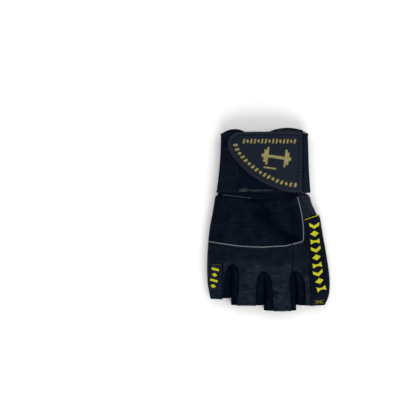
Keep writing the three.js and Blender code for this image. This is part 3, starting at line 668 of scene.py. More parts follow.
def cord_along(line, surface, radius, lift=0.0, step=0.8, sides=10, wobble=0.0):
    """A round cord along a line of flat places."""
    at = spaced(line, step)
    if wobble:
        sway = np.stack([ripple(at, 2.6, 17.0), ripple(at, 2.6, 27.0)], -1)
        at[1:-1] += 0.5 * wobble * sway[1:-1]
    out = normals(surface, at)
    uneven = wobble * ripple(at, 3.0, 7.0)
    centres = surface(at) + out * (lift + uneven)[:, None]
    ends = np.ones(len(at))
    ends[[0, -1]] = 0.5
    return rods(centres[None], out[None], radius * ends, sides)


# Materials
def linear(colour):
    """A colour from its values on a screen, 0 to 255."""
    return [((v / 255 + 0.055) / 1.055) ** 2.4 if v > 10 else v / 255 / 12.92 for v in colour]


class Finish:
    """One material, with its nodes."""

    def __init__(self, name, roughness, specular):
        self.material = bpy.data.materials.new(name)
        self.material.use_nodes = True
        self.tree = self.material.node_tree
        self.shader = self.tree.nodes["Principled BSDF"]
        self.shader.inputs["Roughness"].default_value = roughness
        self.shader.inputs["Specular IOR Level"].default_value = specular
        self.flat = self.add("Attribute", {}, attribute_name="flat").outputs["Vector"]
        self.wear_and_painted_light = self.add("Attribute", {}, attribute_name="wear_and_painted_light").outputs["Fac"]

    def add(self, kind, inputs, **settings):
        node = self.tree.nodes.new("ShaderNode" + kind)
        for key, value in settings.items():
            setattr(node, key, value)
        for key, value in inputs.items():
            self.put(node.inputs[key], value)
        return node

    def put(self, socket, value):
        if isinstance(value, bpy.types.NodeSocket):
            self.tree.links.new(value, socket)
        elif socket.type == "RGBA":
            socket.default_value = (*linear(value), 1)
        else:
            socket.default_value = value

    def times(self, a, b):
        return self.add("Math", {0: a, 1: b}, operation="MULTIPLY").outputs[0]

    def plus(self, a, b):
        return self.add("Math", {0: a, 1: b}, operation="ADD").outputs[0]

    def noise(self, scale, detail=2.0, stretch=(1, 1, 1)):
        place = self.add("VectorMath", {0: self.flat, 1: stretch}, operation="MULTIPLY")
        inputs = {"Vector": place.outputs[0], "Scale": scale, "Detail": detail}
        return self.add("TexNoise", inputs).outputs["Fac"]

    def cells(self, scale):
        return self.add("TexVoronoi", {"Vector": self.flat, "Scale": scale}).outputs["Distance"]

    def waves(self, direction, pitch, distortion=0.0):
        """Ridges across u (X) or y (Y), 0 to 1, at a pitch in millimetres."""
        inputs = {"Vector": self.flat, "Scale": 0.314 / pitch, "Distortion": distortion}
        node = self.add("TexWave", inputs, wave_type="BANDS", bands_direction=direction)
        return node.outputs["Fac"]

    def span(self, value, low, high):
        node = self.add("MapRange", {"Value": value, "To Min": low, "To Max": high})
        return node.outputs["Result"]

    def steep(self, value, low, high):
        """A value's place between two others, 0 to 1."""
        node = self.add("MapRange", {"Value": value, "From Min": low, "From Max": high})
        return node.outputs["Result"]

    def colours(self, share, first, second):
        inputs = {"Factor": share, 6: first, 7: second}
        return self.add("Mix", inputs, data_type="RGBA").outputs[2]

    def bump(self, height, depth, normal=None):
        inputs = {"Height": height, "Distance": depth * MM, "Strength": 1.0}
        if normal is not None:
            inputs["Normal"] = normal
        return self.add("Bump", inputs).outputs["Normal"]

    def finish(self, colour, roughness, normal):
        for name, value in (("Base Color", colour), ("Roughness", roughness), ("Normal", normal)):
            self.put(self.shader.inputs[name], value)
        return self.material


def leather_finish(name, dark, light, worn, roughness, specular):
    """Grained leather: pebbles, fine pores, cloudy colour, and the worn colour where the mask asks:
    worn edges, painted sheen and highlights on the stalls, painted shade in the creases.
    """
    f = Finish(name, roughness, specular)
    pebbles = f.cells(1.15)
    creased = f.noise(0.55, 2.0, (0.4, 1, 1))
    pores = f.noise(3.5)
    mottled = f.plus(f.times(f.noise(0.12, 5.0), 0.5), f.times(f.noise(0.9), 0.5))
    tone = f.colours(f.steep(mottled, 0.38, 0.6), dark, light)
    # The share of the worn colour: wear, with painted sheen and highlights on the stalls and
    # painted shade in the creases.
    rubbed_and_lit = f.times(f.wear_and_painted_light, f.steep(creased, 0.2, 0.75))
    grain = f.plus(f.times(pebbles, 0.8), f.times(creased, 0.5))
    normal = f.bump(pores, 0.04, f.bump(grain, 0.3))
    shine = f.span(pebbles, roughness - 0.08, roughness + 0.1)
    return f.finish(f.colours(rubbed_and_lit, tone, worn), shine, normal)


def knit_finish(name, dark, light, stitch, specular):
    """Fine knitted fabric: small loops over the ribs."""
    f = Finish(name, 0.9, specular)
    weave = f.times(f.waves("X", stitch, 1.2), f.waves("Y", stitch * 0.62, 1.0))
    fuzz = f.noise(4.0)
    # The mask's painted shade darkens the grooves and folds; the noise varies it.
    share = f.times(f.wear_and_painted_light, f.steep(f.noise(0.07, 3.0), 0.1, 0.7))
    normal = f.bump(fuzz, 0.05, f.bump(weave, 0.14))
    return f.finish(f.colours(share, dark, light), f.span(fuzz, 0.8, 1.0), normal)


def elastic_finish(name, dark, light):
    """Woven elastic: cords along the band, crossed by fine weft."""
    f = Finish(name, 0.85, 0.025)
    fuzz = f.noise(3.0)
    streaks = f.noise(0.3, 3.0, (0.15, 1, 1))
    weave = f.plus(f.times(f.waves("Y", 1.15, 0.4), 0.6), f.times(f.waves("X", 0.8, 0.6), 0.4))
    share = f.times(f.steep(streaks, 0.3, 0.7), f.span(weave, 0.4, 1.0))
    share = f.plus(share, f.times(f.wear_and_painted_light, f.span(weave, 0.5, 1.1)))
    normal = f.bump(fuzz, 0.05, f.bump(weave, 0.16))
    return f.finish(f.colours(share, dark, light), f.span(fuzz, 0.75, 0.98), normal)


def loop_finish(name, dark, light):
    """The fuzzy half of a hook and loop closure."""
    f = Finish(name, 1.0, 0.02)
    tufts = f.cells(1.1)
    fuzz = f.noise(2.2, 4.0)
    colour = f.colours(f.times(tufts, fuzz), dark, light)
    return f.finish(colour, f.span(fuzz, 0.85, 1.0), f.bump(fuzz, 0.3, f.bump(tufts, 0.25)))


def moulded_finish(name, dark, light, worn, patchy=0.0):
    """Moulded plastic with a fine matt skin, its raised parts paler with painted highlights, in
    patches if so asked.
    """
    f = Finish(name, 0.5, 0.06)
    cloud = f.noise(0.08, 3.0)
    tone = f.colours(f.span(cloud, 0.1, 0.9), dark, light)
    patches = f.span(f.steep(f.noise(0.5), 0.35, 0.6), 0.85 - patchy, 0.85)
    # The worn colour is where the mask is high: painted highlights on raised parts, and the tab's
    # paler rim.
    colour = f.colours(f.times(f.wear_and_painted_light, patches), tone, worn)
    return f.finish(colour, f.span(cloud, 0.42, 0.56), f.bump(f.noise(5.0), 0.025))


def thread_finish(name, dark, light, pitch, roughness=0.6, specular=0.2):
    """Twisted or laid thread: slanting plies."""
    f = Finish(name, roughness, specular)
    plies = f.waves("DIAGONAL", pitch, 0.5)
    shine = f.span(f.noise(4.0), roughness - 0.1, roughness + 0.15)
    return f.finish(f.colours(plies, dark, light), shine, f.bump(plies, 0.12))


BLACK_LEATHER = leather_finish("black_leather", (0, 8, 19), (11, 22, 35), (37, 41, 53), 0.42, 0.038)
STRIP_LEATHER = leather_finish("smooth_leather", (0, 7, 18), (8, 17, 30), (25, 32, 45), 0.5, 0.025)
PALM_FINISH = leather_finish("palm_leather", (12, 16, 24), (24, 27, 34), (42, 45, 52), 0.7, 0.05)
RIB_FINISH = knit_finish("ribbed_fabric", (0, 3, 12), (24, 33, 47), 0.9, 0.025)
GUSSET_FINISH = knit_finish("gusset_fabric", (1, 6, 17), (17, 27, 41), 0.7, 0.025)
ELASTIC = elastic_finish("woven_elastic", (5, 11, 22), (20, 27, 39))
CUFF_ELASTIC = elastic_finish("cuff_elastic", (0, 5, 16), (14, 21, 36))
LOOPS = loop_finish("loop_fabric", (0, 3, 13), (30, 44, 66))
MOULDED = moulded_finish("moulded_tab", (19, 26, 37), (24, 31, 42), (30, 34, 46))
GOLD = moulded_finish("gold_relief", (62, 53, 18), (86, 77, 35), (156, 149, 105), 0.5)
YELLOW = thread_finish("yellow_thread", (160, 158, 6), (206, 204, 26), 0.55, 0.5)
WORN_YELLOW = thread_finish("worn_yellow_thread", (72, 70, 18), (128, 126, 38), 0.5)
DARK_THREAD = thread_finish("dark_thread", (0, 1, 4), (3, 6, 12), 0.4, specular=0.03)
GREY_THREAD = thread_finish("grey_thread", (34, 40, 50), (80, 86, 94), 0.5)
PALE_PIPING = thread_finish("pale_piping", (80, 86, 94), (136, 142, 149), 0.8)

SHARP_FROM = math.radians(50)


def piece(name, body, look, slot, *nodes):
    """A Blender object from a body, riding with the glove."""
    points, faces, flat, wear_and_painted_light = body
    mesh = bpy.data.meshes.new(name)
    mesh.from_pydata(in_frame(points).tolist(), [], faces)
    mesh.attributes.new("flat", "FLOAT_VECTOR", "POINT").data.foreach_set("vector", flat.ravel())
    mesh.attributes.new("wear_and_painted_light", "FLOAT", "POINT").data.foreach_set("value", wear_and_painted_light.ravel())
    mesh.materials.append(look)
    mesh.shade_smooth()
    mesh.set_sharp_from_angle(angle=SHARP_FROM)
    made = bpy.data.objects.new(name, mesh)
    bpy.context.scene.collection.objects.link(made)
    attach(made, "root")
    if nodes:
        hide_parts(*nodes)


# Leather and fabric panels of the hand. Panels stop short of a seam or a piping.
PIPED = 0.38
SEAMED = 0.06
BEND_RADIUS = 1.5
WRINKLE_LEAN = math.radians(-16)
WRINKLE_DEPTH = 0.5
SHEEN_AND_WEAR_LEAD = 2.5
SHEEN_AND_WEAR_SWAY = 2.5
SHEEN_AND_WEAR_EASE = 5.0
SHEEN_AND_WEAR_FROM = -46.5
RIDGE_HEIGHT = 0.45
RIDGE_WIDTH = 1.7
CREASE_GAIN = 1.3
PUCKER_DEPTH = 0.12
PUCKER_PITCH = 2.5


def ridge_line(x):
    return read(RIDGE, "x", "y", x)


def creases(flat):
    """Depth of the soft creases in the leather at flat places."""
    height = 0
    for x1, y1, x2, y2, depth, width in CREASES:
        ends = to_flat([x1, x2], [y1, y2])
        bowed = (ends[0] + ends[1]) / 2 + [0, 0.06 * abs(x2 - x1)]
        away_from = distance(flat, np.array([ends[0], bowed, ends[1]]))
        height = height - depth * hump(away_from, width)
    return height


def sheen_and_wear_share(flat):
    """How pale the back's leather is painted, for wear and for sheen on the slopes towards the
    fingertips: little above the knuckles, more on the stalls.
    """
    x = back_x(flat[:, 0], flat[:, 1])
    beyond = ridge_line(x) - flat[:, 1] + SHEEN_AND_WEAR_LEAD + SHEEN_AND_WEAR_SWAY * ripple(flat, 5.0, 8.0)
    return smooth(beyond / SHEEN_AND_WEAR_EASE) * smooth((x - SHEEN_AND_WEAR_FROM) / 4)


def leather_relief(roll=1.3, drop=0.85, softness=0.5, rubbed_and_lit=0.0, tips=0.0):
    """Relief of a sewn leather panel: turned edges, soft unevenness and creases."""
    def relief(flat, edge):
        # The stalls' paler colour is wear together with painted sheen on the slopes towards the
        # fingertips.
        worn = sheen_and_wear_share(flat) if tips else np.zeros(len(flat))
        height = edge_roll(edge, roll, drop)
        height += softness * ripple(flat, 12.0, 1.0) * smooth(edge / 5)
        height += 0.35 * softness * ripple(flat, 4.5, 2.0) * smooth(edge / 3)
        wrinkles = ripple(flat @ rotation(WRINKLE_LEAN) * [0.25, 1.0], 1.7, 4.0)
        height += WRINKLE_DEPTH * worn * wrinkles * smooth(edge / 2)
        folds = CREASE_GAIN * creases(flat) * smooth(edge / 2)
        height += folds
        if tips:
            from_ridge = flat[:, 1] - ridge_line(back_x(flat[:, 0], flat[:, 1]))
            height += RIDGE_HEIGHT * hump(from_ridge, RIDGE_WIDTH) * smooth(edge / 4)
        pucker = PUCKER_DEPTH * np.sin(flat.sum(1) * 2 * math.pi / PUCKER_PITCH)
        height += pucker * hump(edge - 1.2, 0.9)
        # patchy: random patches, and painted highlights on the wrinkles' crests.
        patchy = np.clip(0.72 + 0.9 * ripple(flat, 7.0, 3.0) + 1.4 * wrinkles, 0, 1.6)
        wear_and_painted_light = (rubbed_and_lit + tips * worn) * patchy * smooth(edge / 2.5)
        # The pale line on the turned edge is wear; 0.7 * folds darkens the creases as painted
        # shade.
        wear_and_painted_light += 0.22 * hump(edge - 1.1, 0.6) + 0.7 * folds
        return height, np.clip(wear_and_painted_light, 0, 1)
    return relief


def channel(relief, *lines, depth=0.22, width=0.5):
    """Relief with sunk stitching lines."""
    def with_channel(flat, edge):
        height, wear_and_painted_light = relief(flat, edge)
        for line in lines:
            away_from = distance(flat, line)
            height = height - depth * hump(away_from, width)
            wear_and_painted_light = wear_and_painted_light + 0.25 * hump(away_from - 1.0, 0.4)
        return height, wear_and_painted_light
    return with_channel


def gap_leg(k, side, end):
    """Places in plan down one side of a finger gap, from its crotch to y = end."""
    arch = GAPS["arch"][k] * HAND_LENGTH
    crotch = y_at(GAPS["crotch"][k])
    angles = np.linspace(0, math.pi / 2, 14)
    d = np.concatenate([arch * (1 - np.cos(angles)), np.linspace(arch, crotch - end, 20)[1:]])
    share = np.concatenate([np.sin(angles), np.ones(19)])
    y = crotch - d
    return np.stack([gap_centre(k, y) + SIGNS[side] * gap_half(k, side, d) * share, y], -1)


def tip_line(start_x, end_x, y, lean=0.0):
    """The edge of a finger stall, slightly bowed."""
    share = np.linspace(0, 1, 12)
    bow = 0.35 * np.sin(share * math.pi)
    return to_flat(mix(start_x, end_x, share), y + lean * (share - 0.5) + bow)


def leather_panel(name, node, outline, relief, look=BLACK_LEATHER, surface=skin):
    body = sheet(np.concatenate(outline), surface, relief, LEATHER - GAP)
    piece(name, body, look, "leather", node)


LITTLE_LEAN = 1.6
HEM = 3.0
KNUCKLE_STITCH = 2.9
STRIP_STITCH = 2.4
STRIP_ROWS = 1.9
SIDE_STITCH = 3.4


def rib_outline():
    edge_x = u_at(CORNER_X - PIPED, SIDE_CORNER)
    bottom = by_knuckles(PIPED, -SIDE, edge_x, 90)
    bottom = bottom[bottom[:, 0] < bottom[-1, 0] - BEND_RADIUS]
    corner = [[edge_x - 0.7 * BEND_RADIUS, SIDE_CORNER + 1.0], [edge_x - 0.15, SIDE_CORNER + 1.8]]
    side = lengthwise(side_line, -PIPED, SIDE_CORNER + 2.4, CUFF_CORNER - SEAMED, 50)
    top = by_cuff(-SEAMED, -SIDE, side[-1, 0], 80)[::-1]
    return np.concatenate([bottom, corner, side, top])


RIB_PITCH = 2.1
RIB_DEPTH = 0.34
# Soft folds of the ribbed fabric: places in plan, depth, width and shade, the painted shade that
# darkens the fold's colour
RIB_FOLDS = (
    ([(-19, -3), (-6, -13), (1, -20)], 0.9, 3.8, 0.75),
    ([(-11, -21), (6, -33), (21, -47)], 1.2, 5.5, 0.85),
    ([(24, -20), (27, -34), (28, -48)], 0.6, 7.0, 0.6),
    ([(-52, -14), (-46, -30), (-50, -46)], 0.5, 5.0, 0.2),
)


def rib_relief(flat, edge):
    # The colour mask paints shade: the ribs' grooves darker than their crests, and each fold darker
    # by its shade; the rest is random patches.
    crest = np.abs(np.cos(flat[:, 1] * math.pi / RIB_PITCH)) ** 0.8
    height = RIB_DEPTH * (crest - 0.5)
    light = np.ones(len(flat))
    for places, depth, width, shade in RIB_FOLDS:
        away_from = distance(flat, spaced(flat_line(np.array(places, float)), 4))
        fold = hump(np.maximum(away_from + 1.2 * ripple(flat, 8.0, 6.0), 0), width)
        height -= depth * fold
        light -= shade * fold
    height += 0.5 * ripple(flat, 17.0, 3.0) * smooth(edge / 5)
    height += 0.06 * ripple(flat * [1, 3], 3.0, 5.0)
    height += edge_roll(edge, 1.6, 0.55)
    patchy = 0.85 + 0.5 * ripple(flat, 5.0, 9.0)
    return height, np.clip(crest ** 1.5 * light * patchy, 0, 1)


def build_rib_panel():
    spacing = (1.3, RIB_PITCH / 8)
    body = sheet(rib_outline(), skin, rib_relief, RIB_WALL, spacing, 0.6, (0.4, 1.0))
    piece("rib_fabric", body, RIB_FINISH, "ribbed_fabric", "rib_panel")


def knuckle_stitch_line():
    return by_knuckles(-KNUCKLE_STITCH, -SIDE + 1, u_at(22.4, -55), 90)


def index_stitch_line():
    return by_knuckles(-KNUCKLE_STITCH, u_at(23.6, -55), u_at(35.2, -52), 20)


def hem_lines():
    """Stitching lines above the fingertips, little to index."""
    lines = []
    for k, tip in enumerate(TIP_LINES):
        y = tip + HEM
        left = gap_leg(k - 1, "thumb", y)[-1, 0] + 1.6 if k else LITTLE_EDGE + 0.6
        right = gap_leg(k, "little", y)[-1, 0] - 1.6 if k < 3 else strip_line(y) - 0.8
        lines.append(tip_line(left, right, y, 0.0 if k else LITTLE_LEAN))
    return lines


def build_knuckle_panel():
    top = by_knuckles(-PIPED, -SIDE, u_at(index_line(-53.5), -53.5) - SEAMED, 90)
    edge, tips = LITTLE_EDGE + SEAMED, TIP_LINES
    outline = [
        [[-SIDE, top[0, 1]], [-SIDE, LITTLE_TOP + SEAMED]],
        level(-61, edge, LITTLE_TOP + SEAMED, 12),
        upright(edge, LITTLE_TOP - 1, tips[0] + 1, 20),
    ]
    start = edge
    for k in range(3):
        left, right = gap_leg(k, "little", tips[k]), gap_leg(k, "thumb", tips[k + 1])
        if k == 2:
            left = left[left[:, 0] < index_line(left[:, 1]) - SEAMED]
        outline.append(tip_line(start, left[-1, 0], tips[k], 0.0 if k else LITTLE_LEAN))
        outline.append(flat_line(left[::-1]))
        if k < 2:
            outline.append(flat_line(right[1:]))
        start = right[-1, 0]
    outline.append(lengthwise(index_line, -SEAMED, left[0, 1] + 0.5, top[-1, 1] - 0.5, 40))
    outline.append(top[::-1])
    relief = channel(leather_relief(tips=0.68), knuckle_stitch_line(), *hem_lines()[:3])
    leather_panel("knuckle_leather", "knuckle_panel", outline, relief)


def build_index_panel():
    tip = TIP_LINES[3]
    leg, arch = gap_leg(2, "thumb", tip), gap_leg(2, "little", tip)
    arch = arch[arch[:, 0] > index_line(arch[:, 1]) + SEAMED]
    start, end = u_at(index_line(-52.0), -52), u_at(strip_line(-49.5), -49.5)
    top = by_knuckles(-PIPED, start + SEAMED, end - SEAMED, 24)
    outline = [
        lengthwise(index_line, SEAMED, top[0, 1] - 0.5, arch[-1, 1] + 0.5, 40),
        flat_line(arch[::-1]),
        flat_line(leg[1:]),
        tip_line(leg[-1, 0], strip_line(tip) - SEAMED, tip),
        lengthwise(strip_line, -SEAMED, tip + 1, top[-1, 1] - 0.5, 70),
        top[::-1],
    ]
    relief = leather_relief(1.1, 0.8, rubbed_and_lit=0.05, tips=0.55)
    relief = channel(relief, index_stitch_line(), hem_lines()[3])
    leather_panel("index_leather", "index_panel", outline, relief)


def strip_left(y):
    beside_piping = smooth((y - SIDE_CORNER) / 1.5)
    by_side = side_line(np.maximum(y, SIDE_CORNER)) + PIPED
    return mix(strip_line(y) + SEAMED, by_side, beside_piping)


def strip_top(x):
    start, end = strip_line(STRIP_CORNER), section(y_at(STRIP_TOP_OUTER))[1]
    return y_at(mix(STRIP_TOP_INNER, STRIP_TOP_OUTER, (x - start) / (end - start)))


def strip_top_line(offset, start=u_at(strip_line(STRIP_CORNER), STRIP_CORNER), end=SIDE):
    return crosswise(strip_top, offset, start, end, 24, -24.0)


def strip_stitch_lines():
    """The two stitching rows beside the strip's inner edge."""
    offsets = (STRIP_STITCH, STRIP_STITCH + STRIP_ROWS)
    ends = (STRIP_CORNER - 4, TIP_LINES[3] + 2)
    return [lengthwise(strip_left, offset, *ends, 90) for offset in offsets]


def build_side_strip():
    tip = TIP_LINES[3]
    top = strip_top_line(-SEAMED)
    left = lengthwise(strip_left, 0.0, top[0, 1] - 0.4, tip, 110)
    outline = [left, tip_line(strip_left(tip), 59.0, tip), [[SIDE, tip + 0.3]], top[::-1]]
    relief = leather_relief(1.0, 0.6, 0.3, tips=0.25)
    relief = channel(relief, *strip_stitch_lines(), depth=0.18, width=0.4)
    leather_panel("strip_leather", "side_strip", outline, relief, STRIP_LEATHER, flared)


def build_thumb_side_panel():
    side = lengthwise(side_line, PIPED, -GAP, STRIP_CORNER + 0.4, 40)
    outline = [side, strip_top_line(SEAMED), [[SIDE, -GAP]]]
    line = lengthwise(side_line, SIDE_STITCH, -2.0, STRIP_CORNER, 30)
    # The panel's paler colour all over is painted light, as lit from the right side.
    relief = channel(leather_relief(1.2, 0.8, rubbed_and_lit=1.15), line)
    leather_panel("thumb_side_leather", "thumb_side_panel", outline, relief)


def build_little_strip():
    edge, low = LITTLE_EDGE - SEAMED, TIP_LINES[0] - LITTLE_LEAN / 2
    top = level(-61.3, edge, LITTLE_TOP - SEAMED, 14)
    top[0, 0] = -SIDE
    side = upright(edge, TIP_LINES[0], LITTLE_TOP - 1, 20)
    outline = [top[::-1], [[-SIDE, low]], tip_line(-59.0, edge, low), side]
    leather_panel("little_leather", "little_strip", outline, leather_relief(1.0, 0.6, 0.25, 0.6))


# The palm side
PALM_TOP = -0.4
PALM_STEP = 1.6
PALM_RINGS = (0.35, 0.9)
PALM_CLEAR = 0.3
PALM_EDGE_STEP = 1.0


def slit_line(k, sign, end):
    """One side of the slit between two fingers in the palm leather, in plan, crotch down."""
    half = SLIT / 2
    top = y_at(GAPS["crotch"][k] + GAPS["foot"][k])
    angles = np.linspace(0, math.pi / 2, 6)
    below = np.linspace(top - half, end, 16)[1:]
    y = np.concatenate([top - half + half * np.cos(angles), below])
    reach = np.concatenate([half * np.sin(angles), np.full(15, half)])
    return np.stack([gap_centre(k, y) + sign * reach, y], -1)


def palm_outline():
    """Round the palm leather, from the little side's wrist end down and round the fingers."""
    parts = [[[PALM_SIDE, PALM_TOP], [PALM_SIDE, TIP_LINES[0]]]]
    for k in range(3):
        parts.append(palm_places(slit_line(k, -1, TIP_LINES[k])[::-1]))
        parts.append(palm_places(slit_line(k, 1, TIP_LINES[k + 1])[1:]))
    parts.append([[-PALM_SIDE, TIP_LINES[3]], [-PALM_SIDE, PALM_TOP]])
    return np.concatenate(parts)


def hole_line(grow, count=90):
    angles = np.linspace(0, 2 * math.pi, count, endpoint=False)
    x = x_at(THUMB_HOLE[0]) + (THUMB_HOLE_HALF[0] + grow) * np.cos(angles)
    y = y_at(THUMB_HOLE[1]) + (THUMB_HOLE_HALF[1] + grow) * np.sin(angles)
    return np.stack([x, y], -1)


def palm_relief(flat, edge):
    height = edge_roll(edge, 1.2, 0.5)
    height += 0.22 * (ripple(flat, 15.0, 4.0) - 0.6) * smooth(edge / 6)
    return np.minimum(height, 0), 0.5 * hump(edge - 0.9, 0.8)


def build_palm():
    """The palm's leather, with the thumb hole left open."""
    lines = (palm_outline(), palm_places(hole_line(-GAP)))
    outline, hole = (dense(line, PALM_EDGE_STEP) for line in lines)

    def edge_at(places):
        return np.minimum(distance(places, outline, True), distance(places, hole, True))

    def on_palm(places):
        return inside(places, outline) & ~inside(places, hole)

    places = [grid_over(outline, (PALM_STEP, PALM_STEP))]
    for line, inward in ((outline, inward_of(outline)), (hole, -inward_of(hole))):
        places.extend(line + inward * ring for ring in PALM_RINGS)
    places = np.concatenate(places)
    places = places[on_palm(places) & (edge_at(places) > PALM_CLEAR)]
    every = np.concatenate([outline, hole, places])
    first, last = len(outline), len(outline) + len(hole)
    rims = [list(range(first)), list(range(first, last))[::-1]]
    sides = [(a, b) for rim in rims for a, b in zip(rim, rim[1:] + rim[:1])]
    flat, triangles = triangulated(every, sides, [], 0)
    triangles = triangles[on_palm(flat[triangles].mean(1))]
    height, wear_and_painted_light = palm_relief(flat, edge_at(flat))
    base, out = palm(flat), normals(palm, flat)
    outer, inner = base + out * height[:, None], base - out * PALM_LEATHER
    body = layered(flat, triangles, outer, inner, wear_and_painted_light)
    piece("palm_side_leather", body, PALM_FINISH, "palm_leather", "palm_leather")


def build_thumb_binding():
    """A folded elastic tape round the edge of the thumb hole."""
    half, tall, sides = BINDING_WIDTH / 2, BINDING_HEIGHT / 2, 12
    line = hole_line(-GAP - half, 120)
    centres = np.column_stack([line, np.full(len(line), tall)])
    angles = np.arange(sides) / sides * 2 * math.pi
    out = -with_zero(inward_of(line))
    ring_out = signed_power(np.cos(angles), 0.7) * half
    ring_up = signed_power(np.sin(angles), 0.7) * tall
    points = centres[:, None] + out[:, None] * ring_out[:, None] + [0, 0, 1] * ring_up[:, None]
    faces = grid_faces(len(points), sides, True, True)
    run = np.cumsum(np.linalg.norm(np.roll(centres, -1, 0) - centres, axis=1))
    flat = np.stack(np.broadcast_arrays(run[:, None], angles * 2, 0.0), -1)
    body = (points.reshape(-1, 3), faces, flat.reshape(-1, 3), np.zeros(len(points) * sides))
    piece("thumb_hole_tape", body, ELASTIC, "elastic", "thumb_binding")


# Gussets between the fingers. Their rows run up from the slit to the fold, and from there
# to the stall's edge.
GUSSET_FOOT = 0.35
GUSSET_LAP = 1.0
GUSSET_FOLD = 6.0
GUSSET_RUN = 14.0
GUSSET_NAMES = ("little_ring", "ring_middle", "middle_index")
FOLD_SHARE = 0.25
FOLD_LAP = 0.08
FOLD_SWAY = (-0.9, 1.1, 1.3)
GUSSET_UPS = np.concatenate([np.linspace(0, FOLD_SHARE, 6)[:-1], np.linspace(FOLD_SHARE, 1, 20)])
BELLY = np.clip((GUSSET_UPS - FOLD_SHARE) / (1 - FOLD_SHARE), 0, 1)


def fold_centre(k, y):
    """The wandering line in which the two halves of a gusset meet."""
    beyond = np.clip(past_crotch(k, y) / 0.34, 0, 1)
    return gap_centre(k, y) + FOLD_SWAY[k] * np.sin(math.pi * beyond)


def gusset_half(k, side, tip):
    """Rows of points of one half of a gusset, from the crotch to the fingertip."""
    arch = GAPS["arch"][k] * HAND_LENGTH
    crotch = y_at(GAPS["crotch"][k])
    slit_top = y_at(GAPS["crotch"][k] + GAPS["foot"][k])
    sign = SIGNS[side]
    angles = np.linspace(0, math.pi / 2, 26)
    legs = np.linspace(0, 1, 34)[1:]
    d = np.concatenate([arch * (1 - np.cos(angles)), mix(arch, crotch - tip - 0.6, legs)])
    angle = np.concatenate([angles, np.full(33, math.pi / 2)])
    part = np.concatenate([np.zeros(26), legs])
    upper_y = crotch - d + GUSSET_LAP * np.cos(angle)
    reach = (gap_half(k, side, d) + GUSSET_LAP) * np.sin(angle)
    upper_x = gap_centre(k, upper_y) + sign * reach
    upper_z = back_height(upper_x, upper_y, LEATHER - 0.1)
    lower_y = mix(slit_top - SLIT * (1 - np.cos(angle)), tip + 0.6, part)
    lower_y = lower_y + GUSSET_FOOT * np.cos(angle)
    lower_x = gap_centre(k, lower_y) + sign * GUSSET_FOOT * np.sin(angle)
    fold_x = fold_centre(k, upper_y) - sign * FOLD_LAP
    fold_z = mix(upper_z - 1.0, GUSSET_FOLD, smooth(d / 22))
    lower = np.stack([lower_x, lower_y, np.full(len(d), PALM_LEATHER + 0.1)], -1)[:, None]
    fold = np.stack([fold_x, upper_y, fold_z], -1)[:, None]
    upper = np.stack([upper_x, upper_y, upper_z], -1)[:, None]
    below = mix(lower, fold, np.clip(GUSSET_UPS / FOLD_SHARE, 0, 1)[:, None])
    rise = np.stack([BELLY, BELLY, np.sqrt(1 - (1 - BELLY) ** 2)], -1)
    return np.where((GUSSET_UPS < FOLD_SHARE)[:, None], below, mix(fold, upper, rise))


def build_gusset(k):
    """Stretch fabric round a finger gap: it bulges from both sides and meets in a fold."""
    little, thumb = (gusset_half(k, side, TIP_LINES[k + i]) for i, side in enumerate(SIGNS))
    halves = [little[::-1], thumb]
    out = [unit(np.cross(np.gradient(rows, axis=0), np.gradient(rows, axis=1))) for rows in halves]
    rows, out = np.concatenate(halves), np.concatenate(out)
    half = len(halves[0])
    if out[half // 2, -5, 2] < 0:
        out = -out
    run = lengths_along(rows[:, -1])
    places = np.stack(np.broadcast_arrays(run[:, None], GUSSET_UPS * GUSSET_RUN), -1)
    flat = places.reshape(-1, 2)
    folds = 0.9 * ripple(flat * [1, 0.3], 7.0, 11.0 + k) + 0.45 * ripple(flat, 3.0, 21.0 + k)
    height = folds.reshape(rows.shape[:2]) * np.sin(BELLY * math.pi) ** 0.7
    front = rows + out * height[..., None]
    sign = np.where(np.arange(len(rows)) < half, -1, 1)[:, None]
    centre = fold_centre(k, front[..., 1])
    front[..., 0] = centre + sign * np.maximum(sign * (front[..., 0] - centre), -FOLD_LAP)
    behind = front - out * GUSSET
    ring = np.concatenate([front, behind[:, ::-1]], axis=1)
    count, width = ring.shape[:2]
    faces = grid_faces(count, width, False, True) + end_faces(count, width)
    streaks = ripple(flat * [0.3, 1.0], 3.2, 31.0 + k).reshape(rows.shape[:2])
    shade = np.clip(0.75 + 1.5 * streaks, 0.1, 1.6)
    light = np.where(sign > 0, 0.65, 0.45) * hump(BELLY - 0.5, 0.3) * shade
    light = np.clip(np.concatenate([light, light[:, ::-1]], 1).ravel(), 0, 1)
    places = with_zero(np.concatenate([places, places[:, ::-1]], 1))
    body = (ring.reshape(-1, 3), faces, places, light)
    name = GUSSET_NAMES[k]
    piece("gusset_" + name, body, GUSSET_FINISH, "gusset_fabric", "fourchette_" + name)


# Cuff and strap
def even_round(count, start, end=3.0, y=30.0):
    """Places round the wrist at even steps."""
    around = np.linspace(start, end, 4000)
    run = lengths_along(wrist_point(np.full(4000, y), around, np.zeros(4000)))
    at = np.linspace(0, run[-1], count)
    return np.interp(at, run, around), at


def wrist_x(y, around):
    return wrist_point(np.full(len(around), y), around, np.zeros(len(around)))[:, 0]


def cuff_wave(x):
    height = 0
    for start, end, share in CUFF_WAVES:
        place = np.clip((x - x_at(start)) / x_at(end - start), 0, 1)
        height = height + CUFF_WAVE * share * np.sin(math.pi * place) ** 0.7
    return height


CUFF_COUNT = 240
CUFF_EDGE = (0, 0.006, 0.018, 0.035)
CUFF_TOP_EDGE = (0.955, 0.968, 0.98, 0.99, 0.996, 1)


